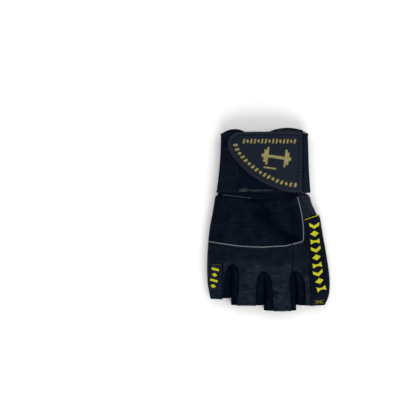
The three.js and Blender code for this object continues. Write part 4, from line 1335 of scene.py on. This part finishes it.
def build_cuff():
    around, run = (some[:-1] for some in even_round(CUFF_COUNT, -1.0))
    wave = np.where(np.abs(around) < 1, cuff_wave(wrist_x(STRAP_WIDTH, around)), 0)
    top = STRAP_WIDTH + CUFF_OVERHANG + wave
    low_x = wrist_x(0.0, around)
    hem = cuff_line(np.minimum(low_x, side_line(CUFF_CORNER) - PIPED)) + SEAMED
    on_back = smooth((1.02 - np.abs(around)) / 0.04) * smooth((side_line(0.0) + 1.5 - low_x) / 2.0)
    bottom = mix(0.4, hem, np.where(np.abs(around) < 1.02, on_back, 0))
    shares = np.concatenate([CUFF_EDGE, np.linspace(0.05, 0.94, 46), CUFF_TOP_EDGE])
    y = mix(bottom, top, shares[:, None])
    places = np.stack([np.broadcast_to(run, y.shape), y], -1)
    ruffle = 0.35 * ripple(places.reshape(-1, 2), 9.0, 31.0).reshape(y.shape)
    hem_ridge = 0.3 * hump(top - y - 1.3, 0.5) + 0.35 * hump(y - bottom - 1.0, 0.6)
    free = smooth((y - STRAP_WIDTH) / 2) + smooth((0.5 - y) / 2)
    fall = -edge_roll(np.minimum(y - bottom, top - y), CUFF_WALL / 2, CUFF_WALL / 2)
    over = -fall + free * (ruffle + hem_ridge)
    under = -(CUFF_WALL - fall) + free * ruffle
    around = np.broadcast_to(around, y.shape)
    ring = np.concatenate([wrist_point(y, around, over), wrist_point(y, around, under)[::-1]])
    faces = [face[::-1] for face in grid_faces(*ring.shape[:2], True, True)]
    top_light = 0.9 * smooth((y - STRAP_WIDTH + 1) / 1.5) * smooth((top - y) / 1.2)
    wear_and_painted_light = np.concatenate([top_light, 0 * top_light]).ravel()
    flat = with_zero(np.concatenate([places, places[::-1]]))
    piece("cuff", (ring.reshape(-1, 3), faces, flat, wear_and_painted_light), CUFF_ELASTIC, "elastic", "cuff_band")


STRAP_START = -1 + 2 / 12
CLIMB = (2.5, 2.9)
STRAP_COUNT = 200
LAP_RUN = 12.0
LOWEST = 0.02
STRAP_EDGE = np.array([0, 0.05, 0.2, 0.5, 0.9, 1.5, 2.2, 3.0])


def strap_end(y):
    """Place round the wrist where the strap's second layer meets the tab's edge."""
    low, high = np.full(np.shape(y), 3.0), np.full(np.shape(y), 4.0)
    out = np.full(np.shape(y), STRAP_WALL + 2 * GAP)
    for _ in range(30):
        middle = (low + high) / 2
        beyond = wrist_point(y, middle, out)[..., 0] > TAB_EDGE + GAP
        low, high = np.where(beyond, middle, low), np.where(beyond, high, middle)
    return low


def build_strap():
    """The wrap: once round the wrist, then up over its own start to the tab."""
    first, run = even_round(STRAP_COUNT, STRAP_START)
    middle_rows = np.arange(4.2, STRAP_WIDTH - 4, 1.3)
    y_rows = np.concatenate([STRAP_EDGE, middle_rows, STRAP_WIDTH - STRAP_EDGE[::-1]])
    second = np.linspace(0, 1, 14)[1:]
    first = np.broadcast_to(first, (len(y_rows), len(first)))
    around = np.concatenate([first, mix(3.0, strap_end(y_rows)[:, None], second)], 1)
    run = np.concatenate([run, run[-1] + second * LAP_RUN])
    y = np.broadcast_to(y_rows[:, None], around.shape)
    rise = (STRAP_WALL + GAP) * smooth((around - CLIMB[0]) / (CLIMB[1] - CLIMB[0]))
    edge = np.minimum(y, STRAP_WIDTH - y)
    places = np.stack([np.broadcast_to(run, y.shape), y], -1)
    sway = 0.25 * ripple(places.reshape(-1, 2), 16.0, 41.0).reshape(y.shape)
    selvage = 0.16 * smooth((2.6 - edge) / 0.7) * smooth(edge / 0.6)
    edge_line = 0.3 * ripple(np.stack([run, 0 * run], -1), 7.0, 43.0)
    moved = y + np.where(y < STRAP_WIDTH / 2, 1, -1) * edge_line * (1 - smooth(edge / 6))
    fall = -edge_roll(edge, STRAP_WALL / 2, STRAP_WALL / 2)
    uneven = sway * smooth(edge / 4) + selvage
    layers = []
    for body_out, bumps in ((GAP + STRAP_WALL - fall, uneven), (GAP + fall, 0)):
        out = np.where(around >= 3, rise, 0) + body_out + bumps
        layer = wrist_point(moved, around, out, rise + body_out + bumps)
        layer[..., 2] = np.maximum(layer[..., 2], LOWEST)
        layers.append(layer)
    ring = np.concatenate([layers[0], layers[1][::-1]]).transpose(1, 0, 2)
    rows, width = ring.shape[:2]
    faces = grid_faces(rows, width, False, True) + end_faces(rows, width)
    flat = with_zero(np.concatenate([places, places[::-1]]).transpose(1, 0, 2))
    lap_light = 0.6 * smooth((around - 3) / 0.03) + 0.5 * hump(edge - 1.0, 0.6)
    wear_and_painted_light = np.concatenate([lap_light, 0 * lap_light]).transpose(1, 0).ravel()
    piece("wrist_wrap", (ring.reshape(-1, 3), faces, flat, wear_and_painted_light), ELASTIC, "elastic", "wrist_strap")


# The closure
ON_STRAP = 2 * GAP + STRAP_WALL
PATCH_TOP = ON_STRAP + PATCH_WALL
TAB_TOP = PATCH_TOP + GAP + TAB_WALL
on_patch = lying(-(PATCH_TOP - 0.25))
on_tab = lying(-TAB_TOP)


def patch_outline(inset=0.0):
    left, right = TAB_EDGE - PATCH_LITTLE + inset, TAB_EDGE - PATCH_THUMB - inset
    low, high = PATCH_LOWER + inset, STRAP_WIDTH - PATCH_UPPER - inset
    x, y = np.linspace(left, right, 40), np.linspace(low, high, 30)
    sides = [(x, low), (right, y), (x[::-1], high), (left, y[::-1])]
    return np.concatenate([to_flat(*side, -PATCH_TOP) for side in sides])


def patch_relief(flat, edge):
    height = edge_roll(edge, 0.8, 0.4) + 0.12 * ripple(flat, 0.9, 51.0)
    height += 0.15 * ripple(flat, 3.0, 52.0)
    return height - 0.3 * hump(edge - 1.6, 0.5), np.zeros(len(flat))


def build_patch():
    rings = (0.3, 0.8, 1.4, 2.0)
    body = sheet(patch_outline(), on_patch, patch_relief, PATCH_WALL - GAP, (0.8, 0.8), 0.6, rings)
    piece("loop_fabric", body, LOOPS, "loop_fabric", "loop_patch")


FUZZ_COUNT = 1700
FUZZ_SEED = 7
FUZZ_RADIUS = 0.07


def build_fuzz():
    """Loops that stand up from the patch where the tab doesn't cover it."""
    surface = lying(-(PATCH_TOP - 0.2))
    draws = np.random.default_rng(FUZZ_SEED)
    outline = patch_outline(0.6)
    roots = draws.uniform(outline.min(0), outline.max(0), (FUZZ_COUNT * 3, 2))
    roots = roots[~inside(roots, dense(tab_outline(-0.4), 1.0))][:FUZZ_COUNT]
    angle = draws.uniform(0, 2 * math.pi, len(roots))
    length = draws.uniform(0.5, 1.5, len(roots))
    way = np.stack([np.cos(angle), np.sin(angle)], -1) * length[:, None]
    places = roots[:, None] + way[:, None] * np.array([-0.5, -0.3, 0, 0.3, 0.5])[:, None]
    rise = draws.uniform(0.2, 0.7, len(roots))
    arch = rise[:, None] * np.array([-0.3, 0.7, 1, 0.7, -0.3])
    out = normals(surface, places)
    body = rods(surface(places) + out * arch[..., None], out, FUZZ_RADIUS, 4)
    piece("loop_fuzz", body, LOOPS, "loop_fabric")


def tab_plan(count=90):
    """The tab's curved edge in plan, foot to top."""
    x, y = TAB_EDGE - TAB_OUTLINE["along"] * TAB_LENGTH, TAB_OUTLINE["up"] * STRAP_WIDTH
    rows = np.stack([x, y], -1)
    last = len(rows) - 1
    place = np.linspace(0, last, count)
    i = np.minimum(place.astype(int), last - 1)
    t = (place - i)[:, None]
    p0, p1, p2, p3 = (rows[np.clip(i + k, 0, last)] for k in (-1, 0, 1, 2))
    square, cube = 2 * p0 - 5 * p1 + 4 * p2 - p3, 3 * p1 - p0 - 3 * p2 + p3
    return 0.5 * (2 * p1 + (p2 - p0) * t + square * t ** 2 + cube * t ** 3)


def tab_outline(inset=0.0):
    """The tab's outline in flat places, clockwise in plan."""
    curve = tab_plan()
    top, right = STRAP_WIDTH - inset, TAB_EDGE - inset
    if inset:
        curve = beside(curve, inset)
        curve = curve[(curve[:, 0] < right) & (curve[:, 1] < top)]
    return np.concatenate([
        flat_line(curve, -TAB_TOP),
        level(curve[-1, 0], right, top, 40, -TAB_TOP),
        upright(right, top, curve[0, 1], 30, -TAB_TOP),
    ])


TAB_STITCH = 2.8
TAB_CORNER_STITCH = 4.2
TAB_STRAIGHT_RIM = 1.7
TAB_INNER_LINE = 4.4
TAB_RINGS = (0.15, 0.4, 0.8, 1.5, 2.3, 2.6, 2.9, 3.2, 3.7, 4.1, 4.5, 5.0)


def tab_relief(flat, edge):
    """The tab's rim, broad along its curve, and the fine ridge inside its stitching."""
    from_curve = distance(flat, flat_line(tab_plan(), -TAB_TOP))
    outer = to_flat(TAB_EDGE, flat[:, 1], -TAB_TOP)[:, 0]
    from_straight = np.minimum(STRAP_WIDTH - flat[:, 1], outer - flat[:, 0])
    narrow = smooth((TAB_STRAIGHT_RIM - from_straight) / 0.5)
    rim = np.maximum(smooth((TAB_RIM + 0.2 - from_curve) / 0.7), narrow)
    ridge = hump(from_straight - TAB_INNER_LINE, 0.4) * smooth((from_curve - TAB_RIM) / 0.6)
    height = TAB_RIM_HEIGHT * rim + 0.14 * ridge
    height += edge_roll(edge, 0.7, 0.45)
    height += 0.08 * ripple(flat, 12.0, 61.0)
    # The rim is paler; the fine ridge and the outer edge get painted highlights.
    wear_and_painted_light = 0.75 * rim + 0.5 * ridge + 0.9 * hump(edge - 0.5, 0.35)
    return height, np.clip(wear_and_painted_light, 0, 1)


def build_tab():
    body = sheet(tab_outline(), on_tab, tab_relief, TAB_WALL, (1.3, 1.3), 0.7, TAB_RINGS)
    piece("tab", body, MOULDED, "moulded_tab", "closure_tab")


# Generic marks: bars, lozenges, chevrons, bow ties and a dumbbell
def bar(width, height, slant=0.0):
    w, h = width / 2, height / 2
    return np.array([(-w - slant, -h), (w - slant, -h), (w + slant, h), (-w + slant, h)])


def lozenge(width, height):
    return np.array([(-width / 2, 0), (0, -height / 2), (width / 2, 0), (0, height / 2)])


def chevron(width, height, thick):
    w, h = width / 2, height / 2
    return np.array([(-w, h - thick), (0, -h), (w, h - thick), (w, h), (0, -h + thick), (-w, h)])


def bow_tie(width, height):
    w, h = width / 2, height / 2
    waist_x, waist_y = w / 3, h * 0.4
    lower = [(-w, -h), (-waist_x, -waist_y), (waist_x, -waist_y), (w, -h)]
    return np.array(lower + [(w, h), (waist_x, waist_y), (-waist_x, waist_y), (-w, h)])


# Distance from the dumbbell's middle and half height, as shares of its width and height
DUMBBELL = (
    (0, 0.1), (0.52, 0.1), (0.52, 0.5), (0.7, 0.5),
    (0.7, 0.36), (0.86, 0.36), (0.86, 0.12), (1, 0.12),
)


def dumbbell(width, height):
    right = [(x * width / 2, -h * height) for x, h in DUMBBELL]
    sides = right[1:]
    upper = [(x, -y) for x, y in reversed(sides)] + [(-x, -y) for x, y in sides]
    return np.array(right + upper + [(-x, y) for x, y in reversed(sides)])


def mark(shape, angle, x, y, surface, rise, depth=0.0, step=0.45):
    """A raised mark with a rounded edge: a shape turned and placed in plan."""
    def relief(flat, edge):
        share = np.clip(edge / 0.7, 0, 1)
        # The marks' middles are paler than their edges: painted highlight on the tops and painted
        # shade at the edges.
        return rise * np.sqrt(1 - (1 - share) ** 2) + 0.02, smooth((edge - 0.15) / 0.6)
    outline = flat_line(dense(shape @ rotation(-angle) + [x, y], step), depth)
    return sheet(outline, surface, relief, 0.25, (0.9, 0.9), step, (0.12, 0.3, 0.55))


STRIP_MARKS = columns("y x", [
    (-97.0, 53.2), (-90.0, 51.2), (-82.0, 49.4), (-72.0, 48.2),
    (-57.0, 47.2), (-48.0, 46.4), (-32.0, 45.6),
])
STRIP_MARK_ENDS = (-33.0, -96.0)
STRIP_MARK_COUNT = 9
STRIP_MARK_LEANS = (4, 16)


def build_strip_marks():
    """A column of embroidered chevrons, lozenges and bow ties on the side strip."""
    shapes = (chevron(10.2, 6.4, 3.4), lozenge(9.4, 6.2), bow_tie(9.4, 5.4))
    bodies = []
    for i in range(STRIP_MARK_COUNT):
        share = i / (STRIP_MARK_COUNT - 1)
        y = mix(*STRIP_MARK_ENDS, share)
        x = float(read(STRIP_MARKS, "y", "x", y))
        lean = math.radians(mix(*STRIP_MARK_LEANS, share))
        bodies.append(mark(shapes[i % 3], lean, x, y, flared, 0.5))
    piece("strip_embroidery", joined(bodies), YELLOW, "leather")


LITTLE_MARK_COUNT = 4


def build_little_marks():
    shapes = (bar(7.4, 2.4), lozenge(6.0, 4.2))
    bodies = []
    for i in range(LITTLE_MARK_COUNT):
        share = i / (LITTLE_MARK_COUNT - 1)
        x, y = mix(-53.4, -55.4, share), mix(-76.5, -93.5, share)
        bodies.append(mark(shapes[i % 2], math.radians(-14), x, y, skin, 0.4, step=0.4))
    piece("little_embroidery", joined(bodies), YELLOW, "leather")


TAB_ROW = (-25.0, 25.6, 15, 51.0)
EMBLEM = (7.2, 35.2, math.radians(-8))
CURVE_INSET = 7.4
CURVE_PITCH = 4.7


def build_tab_marks():
    """Gold relief on the tab: a row of marks, a dumbbell, and marks along the curve."""
    surface = lying(-(TAB_TOP - 0.05))
    start, end, count, row_y = TAB_ROW
    marks = []
    for i in range(count):
        shape = lozenge(3.6, 5.2) if i % 3 == 1 else bar(2.3, 5.0, 0.5)
        marks.append((shape, 0, mix(start, end, i / (count - 1)), row_y))
    x, y, lean = EMBLEM
    marks += [(dumbbell(30, 18), lean, x, y), (bar(13, 2.2), lean, x - 6.5, y - 10.8)]
    line = beside(tab_plan(200), CURVE_INSET)
    line = line[(line[:, 0] < 26.5) & (line[:, 1] < 47.5)][::-1]
    at = spaced(line, CURVE_PITCH)
    for i, (place, way) in enumerate(zip(at, np.gradient(at, axis=0))):
        shape = lozenge(4.4, 5.0) if i % 3 == 2 else bar(3.0, 4.6, 0.5)
        marks.append((shape, math.atan2(way[1], way[0]), *place))
    bodies = [mark(*some, surface, 0.4, -TAB_TOP) for some in marks]
    piece("tab_relief", joined(bodies), GOLD, "moulded_tab")


# Pipings
def side_path():
    up = lengthwise(side_line, 0.0, CUFF_CORNER - 0.6, SIDE_CORNER + 2 * BEND_RADIUS, 40)
    bend = to_flat([CORNER_X - 0.15 * BEND_RADIUS, CORNER_X - 0.6 * BEND_RADIUS],
                   [SIDE_CORNER + BEND_RADIUS, SIDE_CORNER + 0.5 * BEND_RADIUS])
    start = u_at(CORNER_X - 1.4 * BEND_RADIUS, SIDE_CORNER)
    end = u_at(index_line(INDEX_CORNER) + 0.1, SIDE_CORNER)
    return np.concatenate([up, bend, by_knuckles(0.0, start, end, 16)])


def build_pipings():
    start = u_at(index_line(INDEX_CORNER) - 0.1, INDEX_CORNER)
    paths = {"side": side_path(), "knuckle": by_knuckles(0.0, start, -SIDE + 0.5, 120)}
    for name, path in paths.items():
        body = cord_along(path, lying(GAP), PIPING * 0.36, step=0.6, wobble=0.35)
        piece(name + "_cord", body, PALE_PIPING, "piping", name + "_piping")


# Stitching. Dark cords deep in the seams stand for the thread and the turned edges in them, and
# paint the seams' shade as dark lines.
SEAM_DEPTH = 0.95
SEAM_THREAD_AND_SHADE = 0.42


def build_dark_stitching():
    lines = (knuckle_stitch_line(), index_stitch_line())
    rows = [stitches(line, skin, *STITCHES["knuckle"]) for line in lines]
    rows += [stitches(line, skin, *STITCHES["hem"]) for line in hem_lines()]
    rows += [stitches(line, flared, *STITCHES["strip"]) for line in strip_stitch_lines()]
    side = lengthwise(side_line, SIDE_STITCH, -2.0, STRIP_CORNER + 1, 30)
    rows.append(stitches(side, skin, *STITCHES["side"]))
    seams = (
        lengthwise(index_line, 0.0, -52.6, -78.3, 40),
        lengthwise(strip_line, 0.0, SIDE_CORNER - 1, TIP_LINES[3] + 0.5, 60),
        strip_top_line(0.0),
        level(-60.5, LITTLE_EDGE, LITTLE_TOP, 12),
        upright(LITTLE_EDGE, LITTLE_TOP, TIP_LINES[0] + 0.5, 20),
    )
    rows += [cord_along(seam, lying(SEAM_DEPTH), SEAM_THREAD_AND_SHADE, sides=8) for seam in seams]
    cuff = by_cuff(-1.6, -SIDE + 2, u_at(27.5, -6), 60)
    rows.append(stitches(cuff, skin, *STITCHES["cuff"]))
    piece("dark_stitching", joined(rows), DARK_THREAD, "leather")


def build_closure_stitching():
    """The tab's stitching along its top, its outer edge and its corner, and the patch's."""
    top, right = STRAP_WIDTH - TAB_STITCH, TAB_EDGE - TAB_STITCH
    curve = beside(tab_plan(120), TAB_CORNER_STITCH)
    corner = curve[(curve[:, 1] > 50) & (curve[:, 1] < top)]
    across = np.stack([np.linspace(corner[-1, 0] + 1, right, 50), np.full(50, top)], -1)
    down = np.stack([np.linspace(right, right - 2.0, 40), np.linspace(top - 2, 7.5, 40)], -1)
    upper = flat_line(np.concatenate([corner, across]), -TAB_TOP)
    patch = patch_outline(1.6)
    rows = [
        stitches(upper, on_tab, *STITCHES["tab_top"]),
        stitches(flat_line(down, -TAB_TOP), on_tab, *STITCHES["tab_edge"]),
        stitches(np.concatenate([patch, patch[:1]]), on_patch, *STITCHES["patch"]),
    ]
    piece("closure_stitching", joined(rows), DARK_THREAD, "moulded_tab")


TACK = (44.6, 56.4, -109.3)


def build_yellow_stitching():
    """The yellow row on the strip's top, the tack at its foot, and worn rows beside them."""
    left, right, y = TACK
    line = strip_top_line(-1.0, u_at(35.5, STRIP_CORNER), u_at(49.0, -21.5))
    rows = [stitches(line, flared, *STITCHES["strip_top"])]
    for slope in (-1.4, 1.4):
        crossing = level(left + 2, right - 2, y + slope * np.linspace(-1, 1, 12), 12)
        rows.append(stitches(crossing, flared, *STITCHES["tack_cross"]))
    piece("yellow_stitching", joined(rows), YELLOW, "leather")
    bars = [level(left, right, y + offset, 12) for offset in (-1.5, 1.5)]
    rows = [stitches(line, flared, *STITCHES["tack_bar"]) for line in bars]
    little = level(-57.0, -47.6, LITTLE_TOP - 1.1, 10)
    rows.append(stitches(little, skin, *STITCHES["little"]))
    along = lengthwise(strip_left, 0.4, SIDE_CORNER - 8, SIDE_CORNER - 21, 30)
    rows.append(stitches(along, flared, *STITCHES["by_piping"]))
    piece("worn_stitching", joined(rows), WORN_YELLOW, "leather")


def frayed(line, surface, count, spread, seed, radius=0.13):
    """Loose fibres that wander along a line of flat places."""
    draws = np.random.default_rng(seed)
    at = spaced(line, 0.7)
    bodies = []
    for _ in range(count):
        start = draws.integers(0, max(1, len(at) - 8))
        some = at[start:start + draws.integers(6, 14)]
        wander = np.cumsum(draws.normal(0, spread * 0.35, some.shape), 0)
        path = some + (wander + draws.normal(0, spread, 2))
        lift = 0.15 + 0.2 * draws.random()
        bodies.append(cord_along(path, surface, radius, lift, 0.5, 5))
    return bodies


def build_selvage():
    """A pale edge of thread along the cuff's hem, and frayed threads at the wrap's edges."""
    line = by_cuff(0.5, u_at(-45.6, -2), u_at(-19.6, -6), 60)
    knot = to_flat([-19.9, -18.6], [-5.5, -5.9])
    rows = [cord_along(line, skin, 0.3, 0.35, 0.6, 7, 0.25)]
    rows.append(cord_along(knot, skin, 0.6, 0.4, 0.4, 8))
    patch_left = TAB_EDGE - PATCH_LITTLE
    lower = level(patch_left + 0.4, 7.0, PATCH_LOWER + 0.3, 60, -PATCH_TOP)
    left = upright(patch_left + 0.3, 4, 24, 30, -PATCH_TOP)
    surface = lying(-(PATCH_TOP - 0.3))
    rows += frayed(lower, surface, 36, 0.4, 3)
    rows += frayed(lower[:16], surface, 12, 0.5, 4, 0.2)
    rows += frayed(left, surface, 3, 0.9, 5, 0.08)
    rows.append(cord_along(level(-3.0, 30.0, STRAP_WIDTH + 0.9, 60), skin, 0.28, 0.1, 0.6, 6, 0.5))
    rows += frayed(level(5.0, 33.0, STRAP_WIDTH + 2.2, 60), skin, 34, 0.45, 11, 0.12)
    corner = level(32.0, 37.5, STRAP_WIDTH - 0.2, 20, -ON_STRAP)
    rows += frayed(corner, lying(-ON_STRAP), 12, 0.5, 6, 0.16)
    rows += frayed(level(8.5, 20.5, TIP_LINES[2] + 1.0, 20), skin, 15, 0.22, 8)
    piece("loose_threads", joined(rows), GREY_THREAD, "elastic")


# Stage, light and camera
FLOOR_HALF = 3.0
FLOOR_LEVEL = -0.0001
CAMERA_PLACE = (-0.0610, 0.01175)
CAMERA_HEIGHT = 0.8
FIELD = 0.416
SENSOR = 36.0
FOCUS_LEVEL = 0.015


def build_floor():
    steps = np.linspace(-FLOOR_HALF, FLOOR_HALF, 9)
    mesh = bpy.data.meshes.new("floor")
    points = [(x, y, FLOOR_LEVEL) for y in steps for x in steps]
    mesh.from_pydata(points, [], grid_faces(9, 9, False, False))
    material = bpy.data.materials.new("pale_floor")
    material.use_nodes = True
    shader = material.node_tree.nodes["Principled BSDF"]
    shader.inputs["Base Color"].default_value = (0.98, 0.98, 0.98, 1)
    shader.inputs["Roughness"].default_value = 0.9
    shader.inputs["Specular IOR Level"].default_value = 0.1
    mesh.materials.append(material)
    floor = bpy.data.objects.new("floor", mesh)
    bpy.context.scene.collection.objects.link(floor)


def softbox(name, place, size, power):
    """A soft lamp that looks at the frame's origin."""
    light = bpy.data.lights.new(name, "AREA")
    light.shape = "RECTANGLE"
    light.size, light.size_y = size
    light.energy = power
    lamp = bpy.data.objects.new(name, light)
    lamp.location = place
    lamp.rotation_euler = (-Vector(place)).to_track_quat("-Z", "Y").to_euler()
    bpy.context.scene.collection.objects.link(lamp)


def build_lights():
    softbox("front_light", (0.25, -1.1, 1.0), (1.4, 0.9), 18)
    softbox("right_light", (1.1, 0.3, 1.1), (1.2, 1.2), 8.5)
    softbox("left_light", (-1.2, 0.5, 1.2), (1.2, 1.2), 7.5)
    softbox("back_light", (-0.1, 1.3, 1.1), (1.4, 0.9), 8.5)
    world = bpy.data.worlds.new("soft_room")
    world.use_nodes = True
    background = world.node_tree.nodes["Background"]
    background.inputs["Color"].default_value = (1.0, 1.0, 1.0, 1)
    background.inputs["Strength"].default_value = 0.2
    bpy.context.scene.world = world
    bpy.context.scene.view_settings.view_transform = "Standard"


def build_camera():
    camera = bpy.data.cameras.new("camera")
    camera.sensor_width = SENSOR
    camera.lens = SENSOR * CAMERA_HEIGHT / FIELD
    camera.dof.use_dof = False
    holder = bpy.data.objects.new("camera", camera)
    holder.location = (*CAMERA_PLACE, FOCUS_LEVEL + CAMERA_HEIGHT)
    bpy.context.scene.collection.objects.link(holder)
    bpy.context.scene.camera = holder


for build in (
    build_camera, build_floor, build_lights, build_rib_panel, build_knuckle_panel,
    build_index_panel, build_side_strip, build_thumb_side_panel, build_little_strip,
    build_palm, build_thumb_binding,
):
    build()
for gap_number in range(3):
    build_gusset(gap_number)
for build in (
    build_cuff, build_strap, build_patch, build_fuzz, build_tab, build_tab_marks,
    build_strip_marks, build_little_marks, build_pipings, build_dark_stitching,
    build_closure_stitching, build_yellow_stitching, build_selvage,
):
    build()
